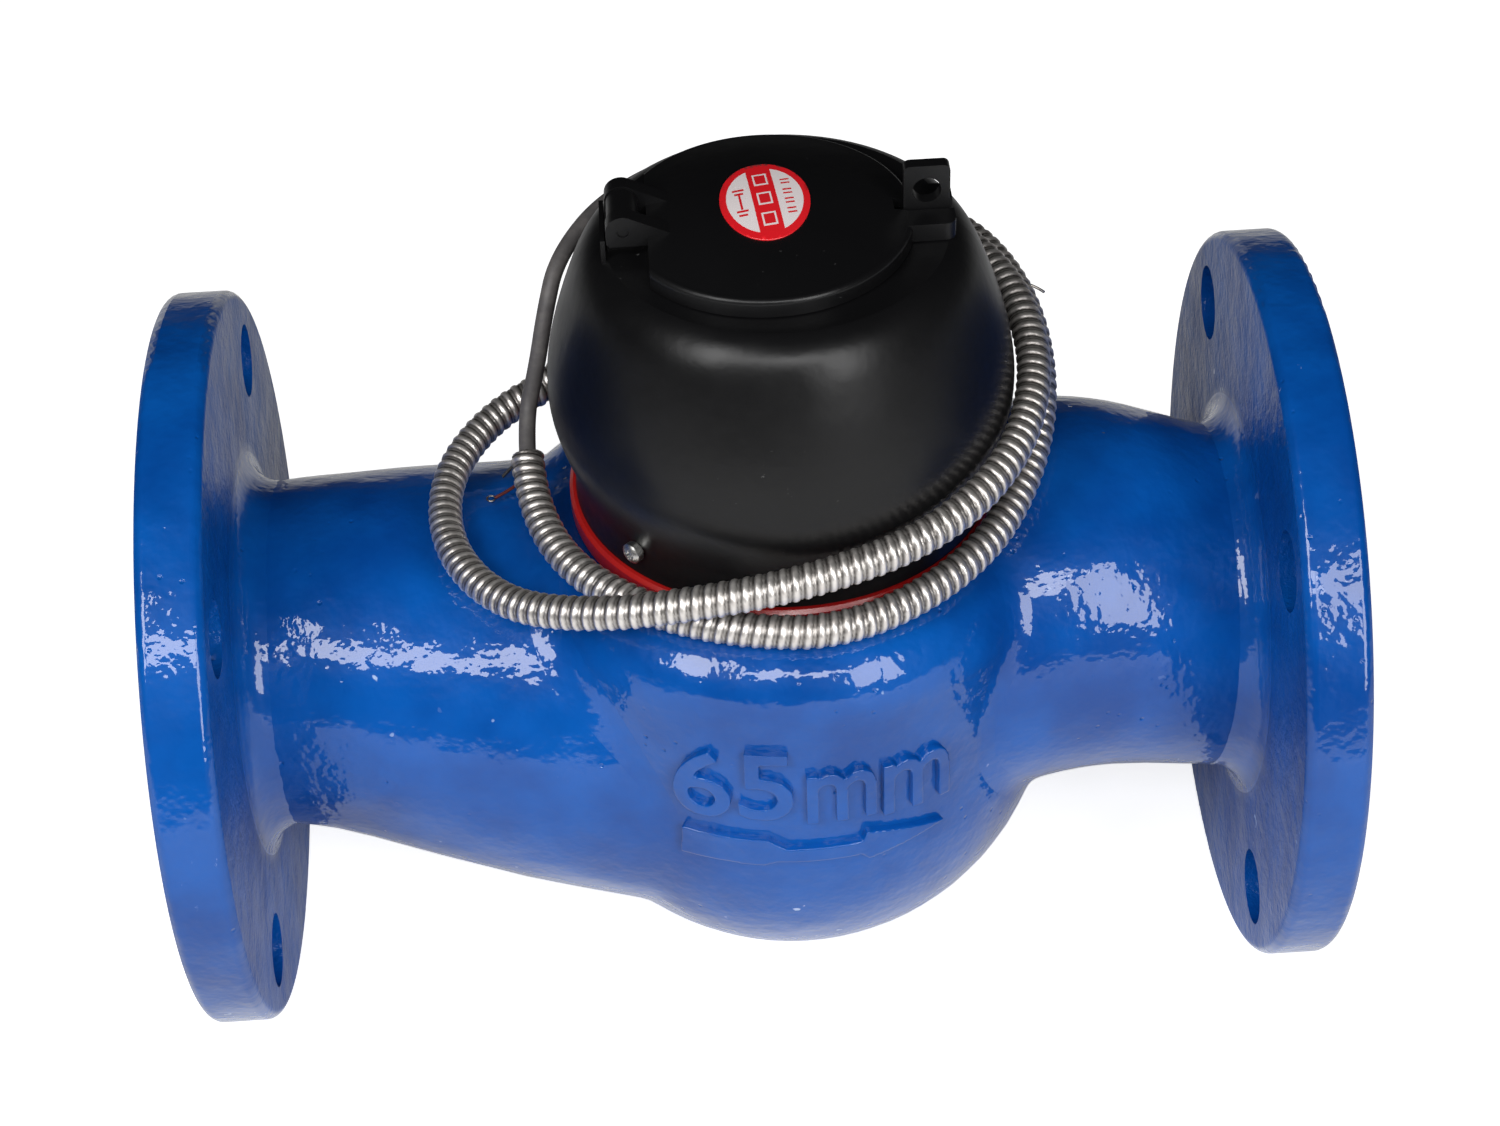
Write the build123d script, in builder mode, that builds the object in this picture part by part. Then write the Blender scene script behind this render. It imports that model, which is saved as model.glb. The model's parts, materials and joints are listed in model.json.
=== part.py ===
"""Flanged water meter with a geared register, a pulse sensor and a steel cable conduit.

Millimetres. The origin is the centre of the inlet flange's sealing face, +X is the way the water
flows and +Z is up along the register.
"""
from build123d import *
from math import acos, asin, cos, degrees, radians, sin, sqrt, tan
import os

os.makedirs("parts", exist_ok=True)

# Flanges and pipe stubs
face_to_face = 272.0
bore_radius = 32.5
flange_radius = 89.0
flange_thickness = 15.0
flange_edge_round = 2.5
raised_face_height = 1.5
bolt_edge = 16.5
bolt_face_gap = 2.5
inlet_hole_radius = 9.0
outlet_hole_radius = 9.25
bolt_count = 4
pipe_radius = 41.5
straight_bore_length = 38.0

# Bulb and head of the casting
register_offset = 10.0
bulb_drop = 21.0
inlet_corner_round = 12.0
outlet_corner_round = 9.0
outlet_rise = 7.0
casting_wall = 7.5
head_height = 42.0
head_land_margin = 0.9
head_shoulder = 16.0
shoulder_reach = 13.0
ledge_top = -3.0
ledge_thickness = 7.0
ledge_width = 3.5
neck_wall = 3.5
neck_height = 15.0

# Measuring unit
fit_gap = 0.3
running_gap = 0.05
strainer_room = 6.0
chamber_wall = 2.5
chamber_floor_z = -32.0
chamber_top = 24.0
jet_count = 8
jet_width = 5.0
jet_height = 11.0
jet_slant = 55.0
collar_thickness = 4.0
gasket_thickness = 1.5
strainer_wall = 1.2
strainer_slots = 16
vane_count = 7
vane_thickness = 1.4
vane_tip_gap = 2.5
hub_radius = 4.5
shaft_radius = 1.5
pivot_length = 16.0
magnet_thickness = 5.5
magnet_radius = 9.0
cover_thickness = 2.6
cover_windows = 8

# Pressure plate, locking ring and register can
plate_flange_thickness = 2.5
plate_depth = 11.0
plate_seal_thickness = 1.5
well_gap = 1.0
well_wall = 2.0
can_well_wall = 1.0
can_flange_thickness = 2.0
can_flange_width = 5.0
can_radius = 36.0
can_wall = 1.5
can_height = 42.0
ring_lip_width = 5.2
ring_lip_height = 5.4
ring_wall = 4.4
ring_top_thickness = 2.5

# Gear train
gear_module = 0.8
pinion_teeth = 6
idler_teeth = 20
pointer_teeth = 18
star_teeth = 8
spindle_radius = 1.0
arbor_radius = 0.8
pivot_radius = 0.6
wheel_thickness = 1.6
layer_pitch = 2.6
end_shake = 0.6
train_clearance = 7.0
train_plate_radius = 30.0
train_plate_thickness = 1.4
train_post_radius = 2.2
train_post_circle = 27.2
train_screw_radius = 0.9
pointer_ring_radius = 16.0
first_pointer_angle = 160.0

# Counter
drum_radius = 5.6
drum_width = 3.8
drum_gap = 0.3
drum_count = 5
drum_right_face = 10.55
drum_row_y = 5.05
drum_clearance = 2.5
drum_shaft_radius = 1.0
peg_count = 10
peg_radius = 0.35
peg_circle_radius = 4.0
peg_length = 1.3
bracket_thickness = 1.0

# Dial, pointers and lens
dial_thickness = 0.8
dial_gap = 0.5
pointer_length = 4.2
pointer_thickness = 0.8
leak_star_radius = 3.0
lens_thickness = 4.0
lens_seal_thickness = 1.0
bezel_wall = 1.2
bezel_height = 12.0

# Dome cover
dome_wall = 2.6
dome_foot_inset = 1.5
dome_bulge = 4.2
dome_land_reach = 2.3
dome_headroom = 6.8
dome_opening_radius = 27.5
cover_screw_count = 3
cover_screw_angle = 224.0
cover_screw_height = 6.9
cover_screw_radius = 1.5
cover_screw_depth = 2.9
cover_screw_head_radius = 2.5
cover_screw_head_height = 1.6
cover_screw_hole_radius = 2.1

# Lid, hinge and hasp
lid_radius = 32.8
lid_shift = 2.3
lid_gap = 0.3
lid_edge_thickness = 4.3
lid_crown = 3.8
lid_wall = 2.4
lid_flat = 26.2
hinge_reach = 31.5
hinge_height = 7.3
hinge_pin_radius = 1.3
arm_radius = 3.8
arm_thickness = 3.8
hasp_width = 16.0
hasp_reach = 41.6
slot_half_width = 2.1
staple_left = 28.1
staple_right = 38.4
staple_thickness = 3.0
staple_height = 15.5
staple_hole_radius = 3.15
hinge_stop_thickness = 1.0
sticker_radius = 10.0
sticker_thickness = 0.3

# Pulse sensor and its outlet
sensor_angle = 125.0
sensor_width = 26.0
sensor_depth = 9.0
sensor_height = 26.0
sensor_wall = 1.5
outlet_height = 40.0
outlet_standoff = 4.2
outlet_radius = 8.0
outlet_left = -24.0
outlet_right = -10.0
ferrule_radius = 5.2
ferrule_length = 11.0
ferrule_seat = 6.0
conduit_radius = 4.0
cable_radius = 2.0
lead_radius = 1.2
blue_wire_radius = 0.65
blue_core_radius = 0.35
loose_wire_radius = 0.4

register_x = face_to_face / 2 + register_offset
register_axis = Axis((register_x, 0, 0), (0, 0, 1))
register_side = Plane(origin=(register_x, 0, 0), x_dir=(1, 0, 0), z_dir=(0, -1, 0))


def level(z):
    """A horizontal plane at height z, centred on the register."""
    return Plane(origin=(register_x, 0, z))


def side_plane(y):
    """An upright plane along the pipe, at distance y behind the register axis."""
    return Plane(origin=(register_x, y, 0), x_dir=(1, 0, 0), z_dir=(0, -1, 0))


def pipe_section(x, z):
    """A plane square to the pipe at distance x from the inlet face, centred at height z."""
    return Plane(origin=(x, 0, z), x_dir=(0, 1, 0), z_dir=(1, 0, 0))


def cross_section(x, z=0):
    """A plane square to +X, at x from the register axis."""
    return pipe_section(register_x + x, z)


def turn(points, mode=Mode.ADD):
    """Turn a closed outline of (radius, height) points about the register axis."""
    with BuildSketch(register_side) as outline:
        with BuildLine():
            Polyline(*points, close=True)
        make_face()
    revolve(outline.sketch, axis=register_axis, mode=mode)


def disc(z, height, outer, inner=0.0, mode=Mode.ADD):
    """A flat ring or disc about the register axis, its underside at height z."""
    with BuildSketch(level(z)) as outline:
        Circle(outer)
        if inner > 0:
            Circle(inner, mode=Mode.SUBTRACT)
    extrude(outline.sketch, amount=height, mode=mode)


def round_bar(x, y, z, height, radius, mode=Mode.ADD):
    """An upright round bar or hole at (x, y) from the register axis."""
    with BuildSketch(level(z)) as outline:
        with Locations((x, y)):
            Circle(radius)
    extrude(outline.sketch, amount=height, mode=mode)


def cross_bar(x, y, z, length, radius, mode=Mode.ADD):
    """A round bar or hole along +X that starts at (x, y) from the register axis."""
    with BuildSketch(cross_section(x, z)) as outline:
        with Locations((y, 0)):
            Circle(radius)
    extrude(outline.sketch, amount=length, mode=mode)


def hinge_bar(half_length, radius, mode=Mode.ADD):
    """A round bar or hole on the hinge's own line."""
    with BuildSketch(side_plane(half_length)) as outline:
        with Locations((hinge_x, hinge_z)):
            Circle(radius)
    extrude(outline.sketch, amount=2 * half_length, mode=mode)


def save(piece, name):
    """Label a finished piece and write it as its own file."""
    piece.part.label = name
    export_step(piece.part, f"parts/{name}.step")


# Radii that grow outward from the register can to the casting's bulb
neck_radius = can_radius + can_flange_width
neck_bore_radius = neck_radius - neck_wall
ledge_hole_radius = neck_bore_radius - ledge_width
chamber_radius = ledge_hole_radius - strainer_room
ring_radius = neck_radius + ring_wall
ring_lip_radius = ring_radius + ring_lip_width
dome_foot_radius = ring_lip_radius - dome_foot_inset
dome_waist_radius = dome_foot_radius + dome_bulge
dome_land_radius = can_radius + dome_land_reach
head_land_radius = ring_lip_radius + head_land_margin
bulb_radius = head_land_radius + shoulder_reach
bolt_circle_radius = flange_radius - bolt_edge
raised_face_radius = bolt_circle_radius - inlet_hole_radius - bolt_face_gap

# Heights that stack up from the casting's ledge and head
bulb_z = -bulb_drop
neck_top = head_height + neck_height
collar_z = ledge_top + gasket_thickness
plug_radius = neck_bore_radius - fit_gap
plate_z = neck_top + plate_seal_thickness
can_z = plate_z + plate_flange_thickness
plate_foot = can_z - plate_depth
can_floor = can_z + can_flange_thickness
ring_foot = head_height + fit_gap
dome_foot = ring_foot + ring_lip_height + fit_gap
can_top = can_z + can_height
lens_z = can_top + lens_seal_thickness
lens_top = lens_z + lens_thickness
bezel_top = lens_top + bezel_wall
dome_land_z = bezel_top + dome_headroom
hinge_z = dome_land_z + hinge_height
cover_screw_z = dome_foot + cover_screw_height
outlet_z = dome_foot + outlet_height
outlet_reach = dome_waist_radius + outlet_standoff

# Casting: two pipe stubs lofted into the bulb, with a flange on each end. Each section is given by
# its share of the way to the register, of the centre's drop or rise, and of the growth in radius
flange_back = raised_face_height + flange_thickness
outlet_run = face_to_face - register_x
stub_growth = bulb_radius - pipe_radius
inlet_sections = [(0.25, 0.07, 0.11), (0.44, 0.35, 0.34), (0.645, 0.62, 0.54), (0.81, 0.81, 0.70)]
outlet_sections = [(0.28, 0.51, 0.09), (0.43, 1.0, 0.17), (0.57, 0.71, 0.24), (0.73, 0.0, 0.37)]
inlet_skin = [(flange_back, 0.0, pipe_radius)]
for along, drop, growth in inlet_sections:
    inlet_skin.append((along * register_x, -drop * bulb_drop, pipe_radius + growth * stub_growth))
outlet_skin = [(face_to_face - flange_back, 0.0, pipe_radius)]
for along, rise, growth in outlet_sections:
    station = face_to_face - along * outlet_run
    outlet_skin.append((station, rise * outlet_rise, pipe_radius + growth * stub_growth))
port_half_width = ledge_hole_radius
inlet_passage = [
    (straight_bore_length, 0.0, bore_radius, bore_radius),
    (0.425 * register_x, -0.43 * bulb_drop, bore_radius, 0.88 * bore_radius),
    (0.60 * register_x, -1.52 * bulb_drop, port_half_width, 0.65 * bore_radius),
    (0.74 * register_x, -1.62 * bulb_drop, port_half_width, 0.68 * bore_radius),
]
outlet_passage = [
    (face_to_face - straight_bore_length, 0.0, bore_radius, bore_radius),
    (face_to_face - 0.435 * outlet_run, outlet_rise, bore_radius, 0.8 * bore_radius),
    (face_to_face - 0.555 * outlet_run, 1.86 * outlet_rise, port_half_width, 0.49 * bore_radius),
    (face_to_face - 0.68 * outlet_run, 2.0 * outlet_rise, port_half_width, 0.49 * bore_radius),
]
lower_radius = bulb_radius - casting_wall
lower_top = ledge_top - ledge_thickness
lower_edge = sqrt(lower_radius**2 - (lower_top - bulb_z) ** 2)
upper_radius = bulb_radius - casting_wall - 2
shoulder_z = head_height - head_shoulder


def stub_corners(first_x, last_x, top_z):
    """The curved edges where a pipe stub meets the bulb, between two distances along the pipe."""
    found = []
    for edge in meter_body.edges().filter_by(GeomType.BSPLINE):
        box = edge.bounding_box()
        if box.min.X >= first_x and box.max.X <= last_x and box.max.Z <= top_z:
            found.append(edge)
    return found


with BuildPart() as meter_body:
    for skin in (inlet_skin, outlet_skin):
        for x, z, radius in skin:
            with BuildSketch(pipe_section(x, z)):
                Circle(radius)
        loft()
    with BuildSketch(register_side):
        with BuildLine():
            Line((0, bulb_z - bulb_radius), (0, head_height))
            Line((0, head_height), (head_land_radius, head_height))
            RadiusArc((head_land_radius, head_height), (bulb_radius, shoulder_z), head_shoulder)
            Line((bulb_radius, shoulder_z), (bulb_radius, bulb_z))
            RadiusArc((bulb_radius, bulb_z), (0, bulb_z - bulb_radius), bulb_radius)
        make_face()
    revolve(axis=register_axis)
    last_x, last_z, last_radius = outlet_skin[-1]
    outlet_round = min(outlet_corner_round, 0.62 * (bulb_radius - last_radius))
    fillet(stub_corners(last_x, register_x + bulb_radius, shoulder_z + 0.5), outlet_round)
    inlet_round = min(inlet_corner_round, 0.52 * stub_growth)
    fillet(stub_corners(register_x - bulb_radius, inlet_skin[-1][0], head_height), inlet_round)
    # Room for the cover's foot where the outlet rises beside the head
    disc(head_height, neck_height, head_land_radius, mode=Mode.SUBTRACT)
    for x in (raised_face_height, face_to_face - flange_back):
        with BuildSketch(pipe_section(x, 0)):
            Circle(flange_radius)
        extrude(amount=flange_thickness)
    circles = meter_body.edges().filter_by(GeomType.CIRCLE)
    rims = circles.filter_by(lambda edge: abs(edge.radius - flange_radius) < 0.01)
    fillet(rims, flange_edge_round)
    for x in (0, face_to_face - raised_face_height):
        with BuildSketch(pipe_section(x, 0)):
            Circle(raised_face_radius)
        extrude(amount=raised_face_height)
    # Threaded neck that the locking ring screws onto
    disc(head_height, neck_height, neck_radius)
    # Straight ends of the waterway, then the passages down to the bulb and up out of it
    for x in (0, face_to_face - straight_bore_length):
        with BuildSketch(pipe_section(x, 0)):
            Circle(bore_radius)
        extrude(amount=straight_bore_length, mode=Mode.SUBTRACT)
    for passage in (inlet_passage, outlet_passage):
        for x, z, half_width, half_height in passage:
            with BuildSketch(pipe_section(x, z)):
                Ellipse(half_width, half_height)
        loft(mode=Mode.SUBTRACT)
    # Lower chamber, the ledge's hole, the upper chamber and the neck's bore
    with BuildSketch(register_side):
        with BuildLine():
            Polyline((0, bulb_z - lower_radius), (0, lower_top), (lower_edge, lower_top))
            low_side = (lower_radius * cos(radians(30)), bulb_z - lower_radius * sin(radians(30)))
            ThreePointArc((lower_edge, lower_top), low_side, (0, bulb_z - lower_radius))
        make_face()
    revolve(axis=register_axis, mode=Mode.SUBTRACT)
    turn(
        [
            (0, lower_top - 1),
            (ledge_hole_radius, lower_top - 1),
            (ledge_hole_radius, ledge_top),
            (upper_radius, ledge_top),
            (upper_radius, head_height - casting_wall - 5),
            (neck_bore_radius, head_height - casting_wall),
            (neck_bore_radius, neck_top + 1),
            (0, neck_top + 1),
        ],
        mode=Mode.SUBTRACT,
    )
    # Bolt holes in each flange, straddling the centre lines
    bolt_fronts = [(raised_face_height, inlet_hole_radius), (face_to_face - flange_back, outlet_hole_radius)]
    for x, hole_radius in bolt_fronts:
        with BuildSketch(pipe_section(x, 0)):
            with PolarLocations(bolt_circle_radius, bolt_count, start_angle=180 / bolt_count):
                Circle(hole_radius)
        extrude(amount=flange_thickness, mode=Mode.SUBTRACT)
save(meter_body, "meter_body")

# Measuring chamber: a cup with slanting jets that stands on the ledge by its collar
with BuildPart() as chamber_gasket:
    disc(ledge_top, gasket_thickness, plug_radius, ledge_hole_radius)
save(chamber_gasket, "chamber_gasket")

chamber_inner = chamber_radius - chamber_wall
chamber_inside_z = chamber_floor_z + chamber_wall
pivot_foot = chamber_floor_z + 1
jets = []
for jet_z, slant in ((lower_top - 8.0, jet_slant), (chamber_top / 2, -jet_slant)):
    for k in range(jet_count):
        foot = Location((register_x, 0, jet_z), (0, 0, 360 * k / jet_count))
        jets.append(foot * Pos(chamber_inner + chamber_wall / 2, 0, 0) * Rot(0, 0, slant))
with BuildPart() as measuring_chamber:
    turn(
        [
            (0, chamber_floor_z),
            (chamber_radius, chamber_floor_z),
            (chamber_radius, collar_z),
            (plug_radius, collar_z),
            (plug_radius, collar_z + collar_thickness),
            (chamber_radius, collar_z + collar_thickness),
            (chamber_radius, chamber_top),
            (chamber_inner, chamber_top),
            (chamber_inner, chamber_inside_z),
            (shaft_radius, chamber_inside_z),
            (shaft_radius, pivot_foot),
            (0, pivot_foot),
        ]
    )
    with Locations(*jets):
        Box(22, jet_width, jet_height, mode=Mode.SUBTRACT)
save(measuring_chamber, "measuring_chamber")

# Strainer: a slotted basket around the lower jets, up against the collar
strainer_radius = ledge_hole_radius - fit_gap
strainer_floor = chamber_floor_z - strainer_wall - fit_gap
slot_height = lower_top - strainer_floor - 6
with BuildPart() as strainer:
    turn(
        [
            (0, strainer_floor),
            (strainer_radius, strainer_floor),
            (strainer_radius, collar_z),
            (strainer_radius - strainer_wall, collar_z),
            (strainer_radius - strainer_wall, strainer_floor + strainer_wall),
            (0, strainer_floor + strainer_wall),
        ]
    )
    with Locations(Location((register_x, 0, strainer_floor + 3 + slot_height / 2))):
        with PolarLocations(strainer_radius, strainer_slots):
            Box(8, strainer_radius / 5, slot_height, mode=Mode.SUBTRACT)
save(strainer, "strainer")

with BuildPart() as pivot_pin:
    disc(pivot_foot, pivot_length, shaft_radius)
save(pivot_pin, "pivot_pin")

# Impeller: flat vanes on a hub that runs on the pivot pin
impeller_low = chamber_inside_z + 2
impeller_high = chamber_top - 5
vane_radius = chamber_inner - vane_tip_gap
pivot_top = pivot_foot + pivot_length
socket_z = impeller_high - 14
vane_spots = []
for k in range(vane_count):
    spoke = Location((register_x, 0, (impeller_low + impeller_high) / 2), (0, 0, 360 * k / vane_count))
    vane_spots.append(spoke * Pos((hub_radius + vane_radius - 1) / 2, 0, 0))
with BuildPart() as impeller:
    turn(
        [
            (shaft_radius + running_gap, impeller_low),
            (hub_radius, impeller_low),
            (hub_radius, impeller_high),
            (shaft_radius, impeller_high),
            (shaft_radius, socket_z),
            (0, socket_z),
            (0, pivot_top + running_gap),
            (shaft_radius + running_gap, pivot_top + running_gap),
        ]
    )
    with Locations(*vane_spots):
        Box(vane_radius - hub_radius + 1, vane_thickness, impeller_high - impeller_low - 4)
save(impeller, "impeller")

drive_magnet_z = chamber_top + cover_thickness + 1.4
drive_magnet_top = drive_magnet_z + magnet_thickness
with BuildPart() as impeller_shaft:
    disc(socket_z, drive_magnet_top - socket_z, shaft_radius)
save(impeller_shaft, "impeller_shaft")

with BuildPart() as drive_magnet:
    disc(drive_magnet_z, magnet_thickness, magnet_radius, shaft_radius)
save(drive_magnet, "drive_magnet")

# Chamber cover: a bearing disc with a windowed skirt up to the pressure plate
skirt_wall = 3.5
skirt_z = chamber_top + cover_thickness
window_height = plate_foot - skirt_z - 8
with BuildPart() as chamber_cover:
    disc(chamber_top, cover_thickness, plug_radius, shaft_radius + running_gap)
    disc(skirt_z, plate_foot - skirt_z, plug_radius, plug_radius - skirt_wall)
    with Locations(Location((register_x, 0, skirt_z + 4 + window_height / 2))):
        with PolarLocations(plug_radius - skirt_wall / 2, cover_windows):
            Box(12, plug_radius / 2.2, window_height, mode=Mode.SUBTRACT)
save(chamber_cover, "chamber_cover")

# Pressure plate: plugs the neck, with a well that parts the wet magnet from the dry one
well_bottom = drive_magnet_top + well_gap
well_inner = magnet_radius + 2
well_outer = well_inner + well_wall
with BuildPart() as plate_seal:
    disc(neck_top, plate_seal_thickness, neck_radius, neck_bore_radius)
save(plate_seal, "plate_seal")

with BuildPart() as pressure_plate:
    turn(
        [
            (0, well_bottom),
            (well_outer, well_bottom),
            (well_outer, plate_foot),
            (plug_radius, plate_foot),
            (plug_radius, plate_z),
            (neck_radius, plate_z),
            (neck_radius, can_z),
            (well_inner, can_z),
            (well_inner, well_bottom + well_wall),
            (0, well_bottom + well_wall),
        ]
    )
save(pressure_plate, "pressure_plate")

# Register can, with a thinner well of its own
can_inner = can_radius - can_wall
can_well_outer = well_inner - fit_gap
can_well_inner = can_well_outer - can_well_wall
can_well_bottom = well_bottom + well_wall + fit_gap
spindle_foot = can_well_bottom + can_well_wall
with BuildPart() as register_can:
    turn(
        [
            (0, can_well_bottom),
            (can_well_outer, can_well_bottom),
            (can_well_outer, can_z),
            (neck_radius, can_z),
            (neck_radius, can_floor),
            (can_radius, can_floor),
            (can_radius, can_top),
            (can_inner, can_top),
            (can_inner, can_floor),
            (can_well_inner, can_floor),
            (can_well_inner, spindle_foot),
            (0, spindle_foot),
        ]
    )
save(register_can, "register_can")

# Locking ring: screws over the neck and clamps the plate and the can
ring_bore = neck_radius + 2 * running_gap
ring_top = can_floor + ring_top_thickness
cover_screw_spots = []
for k in range(cover_screw_count):
    aim = Location((register_x, 0, cover_screw_z), (0, 0, cover_screw_angle + 360 * k / cover_screw_count))
    cover_screw_spots.append(aim * Rot(0, 90, 0))
with BuildPart() as locking_ring:
    turn(
        [
            (ring_bore, ring_foot),
            (ring_lip_radius - 0.8, ring_foot),
            (ring_lip_radius, ring_foot + 0.8),
            (ring_lip_radius, ring_foot + ring_lip_height - 0.8),
            (ring_lip_radius - 0.8, ring_foot + ring_lip_height),
            (ring_radius, ring_foot + ring_lip_height),
            (ring_radius, ring_top),
            (can_radius + fit_gap, ring_top),
            (can_radius + fit_gap, can_floor),
            (ring_bore, can_floor),
        ]
    )
    for spot in cover_screw_spots:
        with Locations(spot * Pos(0, 0, ring_radius)):
            Cylinder(cover_screw_radius, 2 * cover_screw_depth, mode=Mode.SUBTRACT)
save(locking_ring, "locking_ring")

# Gear train: arbors on a ring about the spindle, three layers of wheels between two plates
lower_plate_z = can_floor + train_clearance
lower_plate_top = lower_plate_z + train_plate_thickness
layer_z = [lower_plate_top + end_shake + k * layer_pitch for k in range(3)]
upper_plate_z = layer_z[2] + wheel_thickness + end_shake
upper_plate_top = upper_plate_z + train_plate_thickness
idler_reach = gear_module * (pinion_teeth + idler_teeth) / 2
pointer_reach = gear_module * (pinion_teeth + pointer_teeth) / 2
star_reach = gear_module * (pinion_teeth + star_teeth) / 2
idler_step = 2 * degrees(asin(idler_reach / (2 * pointer_ring_radius)))
pointer_step = 2 * degrees(asin(pointer_reach / (2 * pointer_ring_radius)))
first_step_cosine = (idler_reach**2 + pointer_ring_radius**2 - pointer_reach**2) / (
    2 * idler_reach * pointer_ring_radius
)
first_step = degrees(acos(first_step_cosine))
drum_z = upper_plate_top + drum_clearance + drum_radius
dial_z = drum_z + drum_radius + dial_gap
dial_top = dial_z + dial_thickness
pointer_z = dial_top + dial_gap
pointer_top = pointer_z + pointer_thickness


def polar(radius, angle):
    """The point at a radius and an angle about the register axis."""
    return (radius * cos(radians(angle)), radius * sin(radians(angle)))


# Each arbor is (x, y, teeth of its wheel), from the spindle to the last pointer
arbors = [(0.0, 0.0, pinion_teeth)]
arbors.append((*polar(idler_reach, first_pointer_angle - first_step), idler_teeth))
arbor_angle = first_pointer_angle
arbors.append((*polar(pointer_ring_radius, arbor_angle), pointer_teeth))
for stage in range(3):
    arbor_angle += idler_step
    arbors.append((*polar(pointer_ring_radius, arbor_angle), idler_teeth))
    arbor_angle += pointer_step
    arbors.append((*polar(pointer_ring_radius, arbor_angle), pointer_teeth))
star_spot = polar(star_reach, first_pointer_angle + 90)
pointer_spots = [(x, y) for x, y, teeth in arbors if teeth == pointer_teeth]


def tooth_outline(teeth, phase):
    """Straight-sided teeth about the origin, one of them centred on the phase angle."""
    root = gear_module * (teeth / 2 - 1.15)
    tip = gear_module * (teeth / 2 + 0.65)
    pitch = 360 / teeth
    points = []
    for k in range(teeth):
        middle = phase + k * pitch
        points.append(polar(root, middle - 0.33 * pitch))
        points.append(polar(tip, middle - 0.09 * pitch))
        points.append(polar(tip, middle + 0.09 * pitch))
        points.append(polar(root, middle + 0.33 * pitch))
    return points


def toothed(teeth, phase, spot, z, height):
    """A gear of that many teeth, standing at a spot on the train plates."""
    with BuildSketch(level(z)) as outline:
        with Locations(spot):
            Polygon(*tooth_outline(teeth, phase), align=None)
    extrude(outline.sketch, amount=height)


def driven_phase(teeth, driver, spot):
    """Where a wheel's tooth stands to meet its driver's pinion, whose own tooth points along +X."""
    step = Vector(spot[0] - driver[0], spot[1] - driver[1], 0)
    direction = degrees(acos(step.X / step.length))
    if step.Y < 0:
        direction = -direction
    return direction + 180 + 180 / teeth + direction * pinion_teeth / teeth


def arbor(spot, top):
    """A shouldered arbor from the lower plate up to the given height."""
    x, y = spot
    round_bar(x, y, lower_plate_z, lower_plate_top + 0.1 - lower_plate_z, pivot_radius)
    round_bar(x, y, lower_plate_top + 0.1, upper_plate_z - lower_plate_top - 0.2, arbor_radius)
    round_bar(x, y, upper_plate_z - 0.1, top - upper_plate_z + 0.1, pivot_radius)


with BuildPart() as register_spindle:
    disc(spindle_foot + running_gap, upper_plate_z - 0.1 - spindle_foot - running_gap, spindle_radius)
    disc(upper_plate_z - 0.1, train_plate_thickness + 0.1, pivot_radius)
    toothed(pinion_teeth, 0, (0, 0), layer_z[0], layer_pitch + wheel_thickness)
save(register_spindle, "register_spindle")

with BuildPart() as driven_magnet:
    disc(spindle_foot + 1.5, magnet_thickness, can_well_inner - 0.9, spindle_radius)
save(driven_magnet, "driven_magnet")

for number in range(1, len(arbors)):
    x, y, teeth = arbors[number]
    with BuildPart() as wheel:
        arbor((x, y), pointer_top if teeth == pointer_teeth else upper_plate_top)
        phase = driven_phase(teeth, arbors[number - 1], (x, y))
        toothed(teeth, phase, (x, y), layer_z[number % 3], wheel_thickness)
        if number < len(arbors) - 1:
            toothed(pinion_teeth, 0, (x, y), layer_z[(number + 1) % 3], wheel_thickness)
        else:
            # A crown of pegs turns the first number drum
            crown_z = drum_z - peg_circle_radius
            round_bar(x, y, crown_z - 0.7, 1.4, peg_circle_radius - 0.8)
            for k in range(peg_count):
                spoke = Location((register_x + x, y, crown_z), (0, 0, 180 + 360 * k / peg_count))
                with Locations(spoke * Pos(peg_circle_radius - 0.5, 0, 0) * Rot(0, 90, 0)):
                    Cylinder(peg_radius, 1.8)
    kind = "pointer_wheel" if teeth == pointer_teeth else "idler_wheel"
    save(wheel, f"{kind}_{(number + 1) // 2}")

with BuildPart() as star_wheel:
    arbor(star_spot, pointer_top)
    toothed(star_teeth, driven_phase(star_teeth, (0, 0), star_spot), star_spot, layer_z[0], wheel_thickness)
save(star_wheel, "star_wheel")

# Train plates: posts on the lower plate carry the upper one, whose own posts carry the dial
post_spots = [polar(train_post_circle, angle) for angle in (30, 150, 270)]
dial_post_spots = [polar(train_post_circle, angle) for angle in (90, 210, 330)]
screw_grip = 4.0
with BuildPart() as train_lower_plate:
    disc(lower_plate_z, train_plate_thickness, train_plate_radius)
    for x, y in post_spots:
        round_bar(x, y, can_floor, upper_plate_z - can_floor, train_post_radius)
        round_bar(x, y, upper_plate_z - screw_grip, screw_grip, train_screw_radius, mode=Mode.SUBTRACT)
    disc(lower_plate_z, train_plate_thickness, spindle_radius + running_gap, mode=Mode.SUBTRACT)
    for x, y in [(x, y) for x, y, teeth in arbors[1:]] + [star_spot]:
        round_bar(x, y, lower_plate_z, train_plate_thickness, pivot_radius + running_gap, mode=Mode.SUBTRACT)
save(train_lower_plate, "train_lower_plate")

with BuildPart() as train_upper_plate:
    disc(upper_plate_z, train_plate_thickness, train_plate_radius)
    for x, y in dial_post_spots:
        round_bar(x, y, upper_plate_top, dial_z - upper_plate_top, train_post_radius)
    for x, y in post_spots:
        round_bar(x, y, upper_plate_z, train_plate_thickness, train_screw_radius, mode=Mode.SUBTRACT)
    for x, y in [(x, y) for x, y, teeth in arbors] + [star_spot]:
        round_bar(x, y, upper_plate_z, train_plate_thickness, pivot_radius + running_gap, mode=Mode.SUBTRACT)
save(train_upper_plate, "train_upper_plate")

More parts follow.
